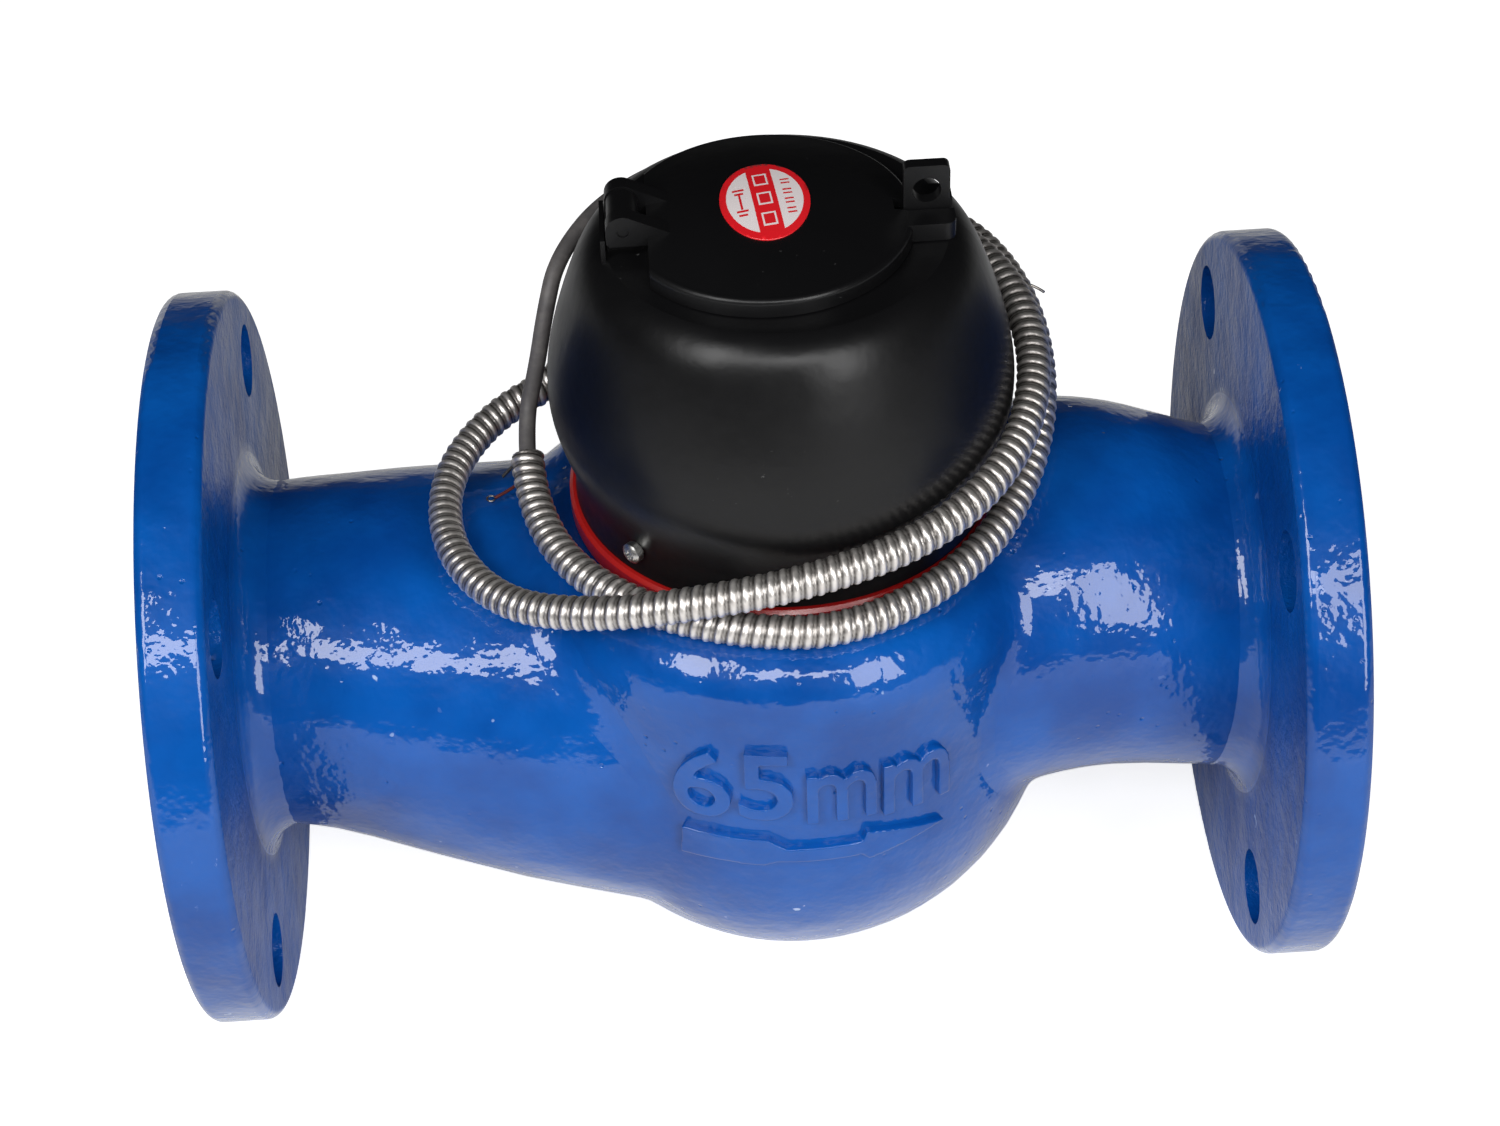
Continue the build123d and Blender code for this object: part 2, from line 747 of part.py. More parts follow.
with BuildPart() as train_screws:
    for x, y in post_spots:
        round_bar(x, y, upper_plate_z - screw_grip, screw_grip + train_plate_thickness, train_screw_radius)
        round_bar(x, y, upper_plate_top, 1.2, train_screw_radius * 2)
save(train_screws, "train_screws")

# Number drums in a row on one shaft, behind the dial's window
drum_pitch = drum_width + drum_gap
right_arm = drum_right_face + peg_length + drum_gap
left_arm = drum_right_face - drum_count * drum_pitch - bracket_thickness
frame_length = right_arm + bracket_thickness - left_arm
back_wall_y = drum_row_y + drum_radius + 0.6
arm_half_height = 2.2
with BuildPart() as counter_frame:
    with BuildSketch(level(upper_plate_top)):
        with Locations((left_arm + frame_length / 2, back_wall_y + bracket_thickness / 2)):
            Rectangle(frame_length, bracket_thickness)
    extrude(amount=drum_z + arm_half_height - upper_plate_top)
    for arm_x in (left_arm, right_arm):
        with BuildSketch(cross_section(arm_x, drum_z)):
            with Locations(((drum_row_y - arm_half_height + back_wall_y) / 2, 0)):
                Rectangle(back_wall_y - drum_row_y + arm_half_height, 2 * arm_half_height)
        extrude(amount=bracket_thickness)
    cross_bar(left_arm, drum_row_y, drum_z, frame_length, drum_shaft_radius, mode=Mode.SUBTRACT)
save(counter_frame, "counter_frame")

with BuildPart() as drum_shaft:
    cross_bar(left_arm, drum_row_y, drum_z, frame_length, drum_shaft_radius)
save(drum_shaft, "drum_shaft")

for number in range(1, drum_count + 1):
    drum_left = drum_right_face - (number - 1) * drum_pitch - drum_width
    with BuildPart() as drum:
        cross_bar(drum_left, drum_row_y, drum_z, drum_width, drum_radius)
        drum_bore = drum_shaft_radius + running_gap
        cross_bar(drum_left, drum_row_y, drum_z, drum_width, drum_bore, mode=Mode.SUBTRACT)
        if number == 1:
            # Face pins, half a pitch away from the crown's pegs at the lowest point
            for k in range(peg_count):
                pin_y, pin_z = polar(peg_circle_radius, -90 + 360 * (k + 0.5) / peg_count)
                cross_bar(drum_right_face, drum_row_y + pin_y, drum_z + pin_z, peg_length, peg_radius)
    save(drum, f"number_drum_{number}")

# Dial with a window over the drums and a hole for each pointer
with BuildPart() as dial_plate:
    disc(dial_z, dial_thickness, can_inner - dial_gap)
    with BuildSketch(level(dial_z)):
        with Locations((drum_right_face - (drum_count * drum_pitch - drum_gap) / 2, drum_row_y)):
            Rectangle(drum_count * drum_pitch - drum_gap, 2 * arm_half_height)
        with Locations(star_spot, *pointer_spots):
            Circle(pivot_radius + fit_gap)
    extrude(amount=dial_thickness, mode=Mode.SUBTRACT)
save(dial_plate, "dial_plate")

for number, spot in enumerate(pointer_spots, start=1):
    with BuildPart() as pointer:
        with BuildSketch(level(pointer_z)):
            with Locations(spot):
                Circle(1.3)
                needle = [(-0.7, -1.8), (0.7, -1.8), (0.25, pointer_length), (-0.25, pointer_length)]
                Polygon(*needle, align=None)
                Circle(pivot_radius, mode=Mode.SUBTRACT)
        extrude(amount=pointer_thickness)
    save(pointer, f"pointer_{number}")

star_outline = [polar(leak_star_radius * (1 if k % 2 == 0 else 0.55), 30 * k) for k in range(12)]
with BuildPart() as leak_star:
    with BuildSketch(level(pointer_z)):
        with Locations(star_spot):
            Polygon(*star_outline, align=None)
            Circle(pivot_radius, mode=Mode.SUBTRACT)
    extrude(amount=pointer_thickness)
save(leak_star, "leak_star")

# Lens on its seal, held down by a thin bezel over the can's rim
bezel_bore = can_radius + 2 * running_gap
rim_inner = can_inner - 1
with BuildPart() as lens_seal:
    disc(can_top, lens_seal_thickness, can_radius, rim_inner)
save(lens_seal, "lens_seal")

with BuildPart() as lens:
    disc(lens_z, lens_thickness, can_radius)
save(lens, "lens")

with BuildPart() as lens_bezel:
    turn(
        [
            (bezel_bore, bezel_top - bezel_height),
            (can_radius + bezel_wall, bezel_top - bezel_height),
            (can_radius + bezel_wall, bezel_top - 0.8),
            (can_radius + bezel_wall - 0.8, bezel_top),
            (rim_inner, bezel_top),
            (rim_inner, lens_top),
            (bezel_bore, lens_top),
        ]
    )
save(lens_bezel, "lens_bezel")

# Dome cover: bulging skirt, soft shoulder, flat land around the opening
dome_height = dome_land_z - dome_foot
dome_skin = [(dome_foot_radius, dome_foot)]
for rise, inset in ((0.155, 3.7), (0.235, 2.1), (0.363, 0.0), (0.623, 1.6), (0.832, 6.1)):
    dome_skin.append((dome_waist_radius - inset, dome_foot + rise * dome_height))
dome_lining = [(radius - dome_wall, z) for radius, z in dome_skin]
dome_skin.append((dome_land_radius + 3.9, dome_land_z - 2.4))
dome_skin.append((dome_land_radius, dome_land_z))
dome_lining.append((dome_land_radius + 0.6, dome_land_z - dome_wall - 2.0))
dome_lining.append((dome_land_radius - 2.5, dome_land_z - dome_wall))
hinge_x = -lid_shift - hinge_reach
hinge_tail = hinge_x - arm_radius - fit_gap
knuckle_half = hasp_width / 2 - arm_thickness - fit_gap
knuckle_radius = arm_radius - fit_gap
root_z = dome_land_z - 3
ferrule_start = outlet_right - ferrule_seat
cable_chamber = outlet_left + 3
lead_hole_x = cable_chamber + 2
staple_x = (staple_left + staple_right) / 2
with BuildPart() as dome_cover:
    with BuildSketch(register_side):
        with BuildLine():
            Spline(*dome_skin)
            Polyline(dome_skin[-1], (0, dome_land_z), (0, dome_foot), dome_skin[0])
        make_face()
    revolve(axis=register_axis)
    # Boss at the back that the conduit leaves along the skirt
    with BuildSketch(cross_section(outlet_left, outlet_z)):
        with Locations((outlet_reach, 0)):
            Circle(outlet_radius)
        with Locations((outlet_reach - 10, 0)):
            Rectangle(20, 2 * outlet_radius)
    extrude(amount=outlet_right - outlet_left)
    # Hinge knuckle and the wall that stops the open lid
    with BuildSketch(side_plane(knuckle_half)):
        with BuildLine():
            Polyline(
                (hinge_x - knuckle_radius, hinge_z),
                (hinge_x - knuckle_radius - 0.5, root_z - 3),
                (hinge_x + knuckle_radius + 1.5, root_z),
                (hinge_x + knuckle_radius, hinge_z),
            )
            ThreePointArc(
                (hinge_x + knuckle_radius, hinge_z),
                (hinge_x, hinge_z + knuckle_radius),
                (hinge_x - knuckle_radius, hinge_z),
            )
        make_face()
    extrude(amount=2 * knuckle_half)
    with BuildSketch(side_plane(hasp_width / 2)):
        with Locations((hinge_tail - hinge_stop_thickness / 2, (root_z - 3 + hinge_z - 2) / 2)):
            Rectangle(hinge_stop_thickness, hinge_z - 2 - root_z + 3)
    extrude(amount=hasp_width)
    with BuildSketch(register_side):
        with BuildLine():
            Spline(*dome_lining)
            Polyline(dome_lining[-1], (0, dome_land_z - dome_wall), (0, dome_foot), dome_lining[0])
        make_face()
    revolve(axis=register_axis, mode=Mode.SUBTRACT)
    disc(dome_land_z - dome_wall - 1, dome_wall + 2, dome_opening_radius, mode=Mode.SUBTRACT)
    hinge_bar(hasp_width / 2, hinge_pin_radius, mode=Mode.SUBTRACT)
    # Staple that stands up through the lid's tongue
    with BuildSketch(side_plane(staple_thickness / 2)) as staple:
        with Locations((staple_x, dome_land_z + staple_height / 2 - 1)):
            Rectangle(staple_right - staple_left, staple_height + 2)
        fillet(staple.vertices().group_by(Axis.Z)[-1], 1.5)
        with Locations((staple_x, dome_land_z + staple_height * 0.6)):
            Circle(staple_hole_radius, mode=Mode.SUBTRACT)
    extrude(amount=staple_thickness)
    # Seat for the ferrule, then the way in for the leads
    cross_bar(ferrule_start, outlet_reach, outlet_z, ferrule_seat, ferrule_radius, mode=Mode.SUBTRACT)
    lead_way = cable_radius + fit_gap
    lead_way_length = ferrule_start - cable_chamber
    cross_bar(cable_chamber, outlet_reach, outlet_z, lead_way_length, lead_way, mode=Mode.SUBTRACT)
    with Locations(Location((register_x + lead_hole_x, outlet_reach - 10, outlet_z), (90, 0, 0))):
        Cylinder(lead_radius + fit_gap, 20, mode=Mode.SUBTRACT)
    for spot in cover_screw_spots:
        with Locations(spot * Pos(0, 0, dome_foot_radius)):
            Cylinder(cover_screw_hole_radius, 10, mode=Mode.SUBTRACT)
save(dome_cover, "dome_cover")

# Cover screws: through the skirt into the locking ring
screw_seat = dome_foot_radius + 0.35
screw_tip = ring_radius - cover_screw_depth
with BuildPart() as cover_screws:
    for spot in cover_screw_spots:
        with Locations(spot * Pos(0, 0, (screw_tip + screw_seat) / 2)):
            Cylinder(cover_screw_radius, screw_seat - screw_tip)
        with Locations(spot * Pos(0, 0, screw_seat + cover_screw_head_height / 2)):
            Cylinder(cover_screw_head_radius, cover_screw_head_height)
save(cover_screws, "cover_screws")

with BuildPart() as hinge_pin:
    hinge_bar(hasp_width / 2 - fit_gap, hinge_pin_radius)
save(hinge_pin, "hinge_pin")

# Lid: a shallow crowned cap, cut flat on the hinge side, with two arms and a slotted tongue
lid_z = dome_land_z + lid_gap
lid_edge_z = lid_z + lid_edge_thickness
crown_z = lid_edge_z + lid_crown
crown_reach = lid_radius - 1.3
crown_radius = (crown_reach**2 + lid_crown**2) / (2 * lid_crown)
lid_axis = Axis((register_x - lid_shift, 0, 0), (0, 0, 1))
lid_side = Plane(origin=(register_x - lid_shift, 0, 0), x_dir=(1, 0, 0), z_dir=(0, -1, 0))
lid_flat_x = -lid_shift - lid_flat
tongue_root = lid_radius - lid_shift - 8
tongue_tip = hasp_reach - lid_shift
arm_low = hinge_z - arm_radius
with BuildPart() as lid:
    with BuildSketch(lid_side):
        with BuildLine():
            Polyline((0, crown_z), (0, lid_z), (lid_radius, lid_z), (lid_radius, lid_edge_z - 1.3))
            RadiusArc((lid_radius, lid_edge_z - 1.3), (crown_reach, lid_edge_z), -1.3)
            RadiusArc((crown_reach, lid_edge_z), (0, crown_z), -crown_radius)
        make_face()
    revolve(axis=lid_axis)
    with BuildSketch(level(lid_z)):
        with Locations((lid_flat_x - 10, 0)):
            Rectangle(20, 2 * lid_radius)
    extrude(amount=crown_z - lid_z, mode=Mode.SUBTRACT)
    with BuildSketch(level(lid_z)) as tongue:
        with Locations(((tongue_root + tongue_tip) / 2, 0)):
            Rectangle(tongue_tip - tongue_root, hasp_width)
        fillet(tongue.vertices().group_by(Axis.X)[-1], 2.5)
    extrude(amount=lid_edge_thickness)
    # Arms that reach back to the hinge pin
    for arm_y in (hasp_width / 2, arm_thickness - hasp_width / 2):
        with BuildSketch(side_plane(arm_y)):
            with BuildLine():
                Polyline(
                    (hinge_x - arm_radius, hinge_z),
                    (hinge_x - arm_radius, arm_low + 0.8),
                    (hinge_x - arm_radius + 0.8, arm_low),
                    (lid_flat_x + 2, arm_low),
                    (lid_flat_x + 8, lid_edge_z - 1),
                    (lid_flat_x + 7, lid_edge_z + 0.9),
                    (hinge_x + 1.2, hinge_z + sqrt(arm_radius**2 - 1.2**2)),
                )
                ThreePointArc(
                    (hinge_x + 1.2, hinge_z + sqrt(arm_radius**2 - 1.2**2)),
                    (hinge_x - 2.2, hinge_z + sqrt(arm_radius**2 - 2.2**2)),
                    (hinge_x - arm_radius, hinge_z),
                )
            make_face()
        extrude(amount=arm_thickness)
    # Hollow underside
    with BuildSketch(level(lid_z)):
        with Locations((-lid_shift, 0)):
            Circle(lid_radius - lid_wall - 0.4)
        with Locations((lid_flat_x - 10 + lid_wall, 0)):
            Rectangle(20, 2 * lid_radius, mode=Mode.SUBTRACT)
    extrude(amount=lid_edge_thickness - lid_wall + 0.6, mode=Mode.SUBTRACT)
    with BuildSketch(level(lid_z)):
        with Locations((staple_left - slot_half_width + 10, 0)):
            Rectangle(20, 2 * slot_half_width)
    extrude(amount=crown_z - lid_z, mode=Mode.SUBTRACT)
    hinge_bar(hasp_width / 2, hinge_pin_radius + running_gap, mode=Mode.SUBTRACT)
save(lid, "lid")

# Sticker that follows the crown of the lid
sticker_edge_z = crown_z - crown_radius + sqrt(crown_radius**2 - sticker_radius**2)
with BuildPart() as inspection_sticker:
    with BuildSketch(lid_side):
        with BuildLine():
            sticker_middle_top = (0, crown_z + sticker_thickness)
            sticker_edge_top = (sticker_radius, sticker_edge_z + sticker_thickness)
            Line((0, crown_z), sticker_middle_top)
            RadiusArc(sticker_middle_top, sticker_edge_top, crown_radius)
            Line(sticker_edge_top, (sticker_radius, sticker_edge_z))
            RadiusArc((sticker_radius, sticker_edge_z), (0, crown_z), -crown_radius)
        make_face()
    revolve(axis=lid_axis)
save(inspection_sticker, "inspection_sticker")

# Pulse sensor: a sealed box on the can's wall, with its circuit board inside
sensor_middle = can_radius + fit_gap + sensor_depth / 2
sensor_z = lower_plate_z - 4
sensor_place = Location((register_x, 0, sensor_z + sensor_height / 2), (0, 0, sensor_angle))
inner_depth = sensor_depth - 2 * sensor_wall
inner_width = sensor_width - 2 * sensor_wall
inner_height = sensor_height - 2 * sensor_wall
board_thickness = 1.6
with BuildPart() as sensor_housing:
    with Locations(sensor_place * Pos(sensor_middle, 0, 0)):
        Box(sensor_depth, sensor_width, sensor_height)
        Box(inner_depth, inner_width, inner_height, mode=Mode.SUBTRACT)
save(sensor_housing, "sensor_housing")

with BuildPart() as sensor_board:
    with Locations(sensor_place * Pos(sensor_middle + (inner_depth - board_thickness) / 2, 0, 0)):
        Box(board_thickness, inner_width - 1, inner_height - 1)
save(sensor_board, "sensor_board")

# Ferrule that holds the conduit in the boss
with BuildPart() as conduit_ferrule:
    cross_bar(ferrule_start, outlet_reach, outlet_z, ferrule_length, ferrule_radius)
    cross_bar(ferrule_start, outlet_reach, outlet_z, ferrule_length, conduit_radius, mode=Mode.SUBTRACT)
save(conduit_ferrule, "conduit_ferrule")

# Routes of the conduit, the cable and the wires, as points from the register axis
conduit_route = [
    (ferrule_start, outlet_reach, outlet_z),
    (11, outlet_reach, outlet_z),
    (38, 46.5, 86.5),
    (55.5, 22, 84),
    (59.2, -6, 78.5),
    (50.5, -31.5, 72),
    (30.6, -49.6, 66.5),
    (4, -57.2, 62.5),
    (-22, -58, 58.5),
    (-46, -53, 52.5),
    (-66, -41, 46.5),
    (-79, -21, 46),
    (-80.5, 4, 47.5),
    (-69, 24, 50.5),
    (-50, 33, 55),
    (-38, 50, 63),
    (-12, 66, 72),
    (20, 68, 78),
    (47, 51, 80.5),
    (60, 26, 75.5),
    (61.5, -2, 64),
    (51, -27, 52),
    (33, -45.5, 48),
    (9, -57, 46.3),
    (-15, -54, 46.3),
    (-36, -44, 46.3),
    (-52, -28, 46.5),
    (-59.5, -8, 49.5),
    (-60, 3, 54),
]
cable_route = [
    (-59.78, -1.9, 52),
    (-60.39, 11.51, 57.48),
    (-56.5, 16.5, 70),
    (-53.7, 21, 82),
    (-50, 29.5, 92),
    (-38, 45, 97.5),
    (-15, 57.5, 100.2),
    (10, 60, 97.5),
    (30, 54.5, 95.5),
]
blue_route = [
    (30, 54.5, 95.5),
    (34.32, 53.31, 95.07),
    (40, 51, 88.5),
    (41.2, 47, 82),
    (44, 41, 75),
    (52, 37.8, 72.5),
    (60.3, 36.4, 71.5),
]
blue_tip_route = [(60.3, 36.4, 71.5), (63.2, 36, 71), (65.9, 36, 68.6)]
black_route = [
    (-59.4, 4.19, 51.15),
    (-59.63, 9.37, 53.27),
    (-58.57, 11.5, 48.2),
    (-63.4, 11.3, 46),
    (-66.8, 10.2, 42.6),
]
brown_route = [
    (-60.6, 4.15, 51.13),
    (-60.84, 9.33, 53.25),
    (-61.9, 11.37, 48.14),
    (-61, 7.5, 44.8),
    (-64.2, 4.4, 43.5),
    (-68.6, 2.2, 42.8),
]
sensor_face = sensor_middle + sensor_depth / 2
sensor_out = Vector(cos(radians(sensor_angle)), sin(radians(sensor_angle)), 0)
lead_bend = Vector(lead_hole_x, (sensor_face + 2 - lead_hole_x * sensor_out.X) / sensor_out.Y, outlet_z)
lead_route = [lead_bend - 2 * sensor_out, lead_bend, (lead_hole_x, outlet_reach, outlet_z)]
lead_route.append((ferrule_start + 3, outlet_reach, outlet_z))
corner_share = 0.45


def arc_radii(points):
    """For each corner, the radius of an arc that takes up the same share of its shorter run."""
    radii = []
    for before, corner, after in zip(points, points[1:], points[2:]):
        run_in = Vector(*corner) - Vector(*before)
        run_out = Vector(*after) - Vector(*corner)
        half_turn = radians(run_in.get_angle(run_out)) / 2
        radii.append(corner_share * min(run_in.length, run_out.length) / tan(half_turn))
    return radii


def tube(name, points, radii, outer, inner=0.0):
    """A round tube or wire along straight runs joined by tangent arcs."""
    with BuildLine() as path:
        FilletPolyline(*[Vector(register_x, 0, 0) + Vector(*point) for point in points], radius=radii)
    route = path.wire()
    with BuildSketch(Plane(origin=route @ 0, z_dir=route % 0)) as section:
        Circle(outer)
        if inner > 0:
            Circle(inner, mode=Mode.SUBTRACT)
    solid = sweep(section.sketch, path=route)
    share = solid.volume / (section.sketch.area * route.length)
    print(f"{name}: {route.length:.1f} long, volume {share:.4f} of section times length")
    print("  radii", [round(radius, 1) for radius in radii])


with BuildPart() as conduit:
    tube("conduit", conduit_route, arc_radii(conduit_route), conduit_radius, cable_radius + fit_gap)
save(conduit, "conduit")

with BuildPart() as signal_cable:
    tube("signal_cable", cable_route, arc_radii(cable_route), cable_radius)
save(signal_cable, "signal_cable")

with BuildPart() as blue_wire:
    tube("blue_wire", blue_route, arc_radii(blue_route), blue_wire_radius)
    tube("blue_tip", blue_tip_route, arc_radii(blue_tip_route), blue_core_radius)
save(blue_wire, "blue_wire")

with BuildPart() as black_wire:
    tube("black_wire", black_route, arc_radii(black_route), loose_wire_radius)
save(black_wire, "black_wire")

with BuildPart() as brown_wire:
    tube("brown_wire", brown_route, arc_radii(brown_route), loose_wire_radius)
save(brown_wire, "brown_wire")

# Lead from the sensor through the cover's wall into the conduit
with BuildPart() as sensor_lead:
    lead_radii = arc_radii(lead_route)
    lead_radii[-1] = lead_radius + 0.8
    tube("sensor_lead", lead_route, lead_radii, lead_radius)
save(sensor_lead, "sensor_lead")
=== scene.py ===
import json
import math

import bmesh
import bpy
from mathutils import Matrix, Vector
from mathutils.bvhtree import BVHTree


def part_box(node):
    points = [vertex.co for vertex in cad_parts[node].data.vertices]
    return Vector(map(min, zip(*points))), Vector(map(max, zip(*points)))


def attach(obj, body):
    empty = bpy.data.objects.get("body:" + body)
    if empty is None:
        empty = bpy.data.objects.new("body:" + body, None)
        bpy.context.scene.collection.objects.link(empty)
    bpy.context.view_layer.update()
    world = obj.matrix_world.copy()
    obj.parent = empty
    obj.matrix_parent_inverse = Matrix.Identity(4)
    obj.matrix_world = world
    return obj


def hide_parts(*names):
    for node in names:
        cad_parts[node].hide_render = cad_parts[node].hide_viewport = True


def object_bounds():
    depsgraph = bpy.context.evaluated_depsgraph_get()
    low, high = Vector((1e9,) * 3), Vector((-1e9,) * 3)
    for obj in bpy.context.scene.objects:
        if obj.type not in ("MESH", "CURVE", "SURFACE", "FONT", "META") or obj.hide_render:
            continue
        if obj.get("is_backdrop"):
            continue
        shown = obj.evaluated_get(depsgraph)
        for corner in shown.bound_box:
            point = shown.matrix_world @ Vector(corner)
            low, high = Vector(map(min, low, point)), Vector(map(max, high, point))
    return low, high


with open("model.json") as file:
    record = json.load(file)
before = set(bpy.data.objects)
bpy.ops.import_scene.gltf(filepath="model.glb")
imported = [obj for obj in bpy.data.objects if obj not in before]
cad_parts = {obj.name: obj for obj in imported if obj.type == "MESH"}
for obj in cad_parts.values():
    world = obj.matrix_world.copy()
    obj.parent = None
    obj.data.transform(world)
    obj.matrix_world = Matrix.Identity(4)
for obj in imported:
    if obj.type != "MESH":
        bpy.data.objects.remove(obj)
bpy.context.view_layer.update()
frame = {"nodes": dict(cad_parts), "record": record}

nodes = frame["nodes"]
scene = bpy.context.scene
scene.view_settings.view_transform = "Standard"

REGISTER_X = 0.146
FACE_TO_FACE = 0.272
FLANGE_BACK = 0.0165
FLOOR_Z = -0.0893
PIPE_RADIUS = 0.0415
BULB_RADIUS = 0.0645


# Camera

def camera_matrix(place, yaw, pitch, roll):
    """A camera that looks along +Y at yaw 0, down by pitch and tilted by roll."""
    forward = Vector((math.sin(yaw) * math.cos(pitch), math.cos(yaw) * math.cos(pitch), -math.sin(pitch)))
    right = Vector((math.cos(yaw), -math.sin(yaw), 0))
    up = right.cross(forward)
    side = math.cos(roll) * right + math.sin(roll) * up
    top = -math.sin(roll) * right + math.cos(roll) * up
    matrix = Matrix((side, top, -forward)).transposed().to_4x4()
    matrix.translation = place
    return matrix


lens_data = bpy.data.cameras.new("camera")
lens_data.sensor_width = 36.0
lens_data.lens = 72.28
lens_data.clip_start = 0.01
camera = bpy.data.objects.new("camera", lens_data)
scene.collection.objects.link(camera)
camera.matrix_world = camera_matrix((0.11966, -0.55169, 0.49618), 0.0317, 0.7125, -0.0414)
scene.camera = camera


# Node helpers

class Shader:
    """A material's node tree with one Principled shader and a few short helpers."""

    def __init__(self, name):
        self.material = bpy.data.materials.new(name)
        self.material.use_nodes = True
        self.tree = self.material.node_tree
        self.shader = self.tree.nodes["Principled BSDF"]
        self.place = self.node("ShaderNodeTexCoord").outputs["Object"]

    def node(self, kind, **settings):
        made = self.tree.nodes.new(kind)
        for key, value in settings.items():
            setattr(made, key, value)
        return made

    def link(self, source, target):
        self.tree.links.new(source, target)

    def set(self, **values):
        for key, value in values.items():
            self.shader.inputs[key.replace("_", " ")].default_value = value

    def noise(self, scale, detail=2.0, roughness=0.5, stretch=None):
        texture = self.node("ShaderNodeTexNoise")
        texture.inputs["Scale"].default_value = scale
        texture.inputs["Detail"].default_value = detail
        texture.inputs["Roughness"].default_value = roughness
        place = self.place
        if stretch is not None:
            mapping = self.node("ShaderNodeMapping")
            mapping.inputs["Scale"].default_value = stretch
            self.link(place, mapping.inputs["Vector"])
            place = mapping.outputs["Vector"]
        self.link(place, texture.inputs["Vector"])
        return texture.outputs["Fac"]

    def cells(self, scale):
        texture = self.node("ShaderNodeTexVoronoi")
        texture.inputs["Scale"].default_value = scale
        self.link(self.place, texture.inputs["Vector"])
        return texture.outputs["Distance"]

    def ramp(self, value, low, high, start=0.0, end=1.0):
        made = self.node("ShaderNodeMapRange", interpolation_type="SMOOTHSTEP")
        for key, number in (("From Min", low), ("From Max", high), ("To Min", start), ("To Max", end)):
            made.inputs[key].default_value = number
        self.link(value, made.inputs["Value"])
        return made.outputs["Result"]

    def math(self, operation, *values):
        made = self.node("ShaderNodeMath", operation=operation)
        for socket, value in zip(made.inputs, values):
            if isinstance(value, (int, float)):
                socket.default_value = value
            else:
                self.link(value, socket)
        return made.outputs[0]

    def mix(self, factor, first, second):
        made = self.node("ShaderNodeMix", data_type="RGBA")
        self.link(factor, made.inputs[0])
        for socket, value in ((made.inputs[6], first), (made.inputs[7], second)):
            if isinstance(value, tuple):
                socket.default_value = (*value, 1.0)
            else:
                self.link(value, socket)
        return made.outputs[2]

    def axis(self, name):
        split = self.node("ShaderNodeSeparateXYZ")
        self.link(self.place, split.inputs[0])
        return split.outputs[name]

    def bump(self, *layers):
        """Layers are (height, distance in metres), the coarsest first."""
        normal = None
        for height, distance in layers:
            made = self.node("ShaderNodeBump")
            made.inputs["Strength"].default_value = 1.0
            made.inputs["Distance"].default_value = distance
            self.link(height, made.inputs["Height"])
            if normal is not None:
                self.link(normal, made.inputs["Normal"])
            normal = made.outputs["Normal"]
        self.link(normal, self.shader.inputs["Normal"])
        return normal


def plastic(name, light, dark, roughness, grain=900.0, depth=0.00002, gloss=0.0):
    """Moulded plastic: two close tones, a faint uneven sheen and a fine moulded grain."""
    s = Shader(name)
    tone = s.ramp(s.noise(35, 3), 0.3, 0.7)
    s.link(s.mix(tone, dark, light), s.shader.inputs["Base Color"])
    sheen = s.ramp(s.noise(60, 3), 0.25, 0.75, roughness - 0.05, roughness + 0.06)
    s.link(sheen, s.shader.inputs["Roughness"])
    s.bump((s.noise(90, 2), depth * 2), (s.noise(grain, 2), depth))
    s.set(Coat_Weight=gloss, Coat_Roughness=0.08)
    return s.material


def metal(name, light, dark, roughness, stretch, scratches=600.0, depth=0.00001):
    """Bare metal: brushed or turned lines along one direction and slight stains."""
    s = Shader(name)
    s.set(Metallic=1.0)
    lines = s.noise(scratches, 3, 0.6, stretch=stretch)
    stain = s.ramp(s.noise(120, 4), 0.35, 0.7)
    s.link(s.mix(stain, light, dark), s.shader.inputs["Base Color"])
    s.link(s.ramp(lines, 0.3, 0.7, roughness - 0.07, roughness + 0.1), s.shader.inputs["Roughness"])
    s.bump((lines, depth))
    return s.material


def rubber(name, light, dark, roughness, grain=1500.0, depth=0.00003):
    """Sheath or seal: matte, with a fine grain and dusty patches."""
    s = Shader(name)
    dust = s.ramp(s.noise(180, 4, 0.6), 0.35, 0.75)
    s.link(s.mix(dust, dark, light), s.shader.inputs["Base Color"])
    sheen = s.ramp(s.noise(300, 3), 0.3, 0.7, roughness - 0.08, roughness + 0.08)
    s.link(sheen, s.shader.inputs["Roughness"])
    s.bump((s.noise(grain, 2), depth))
    return s.material


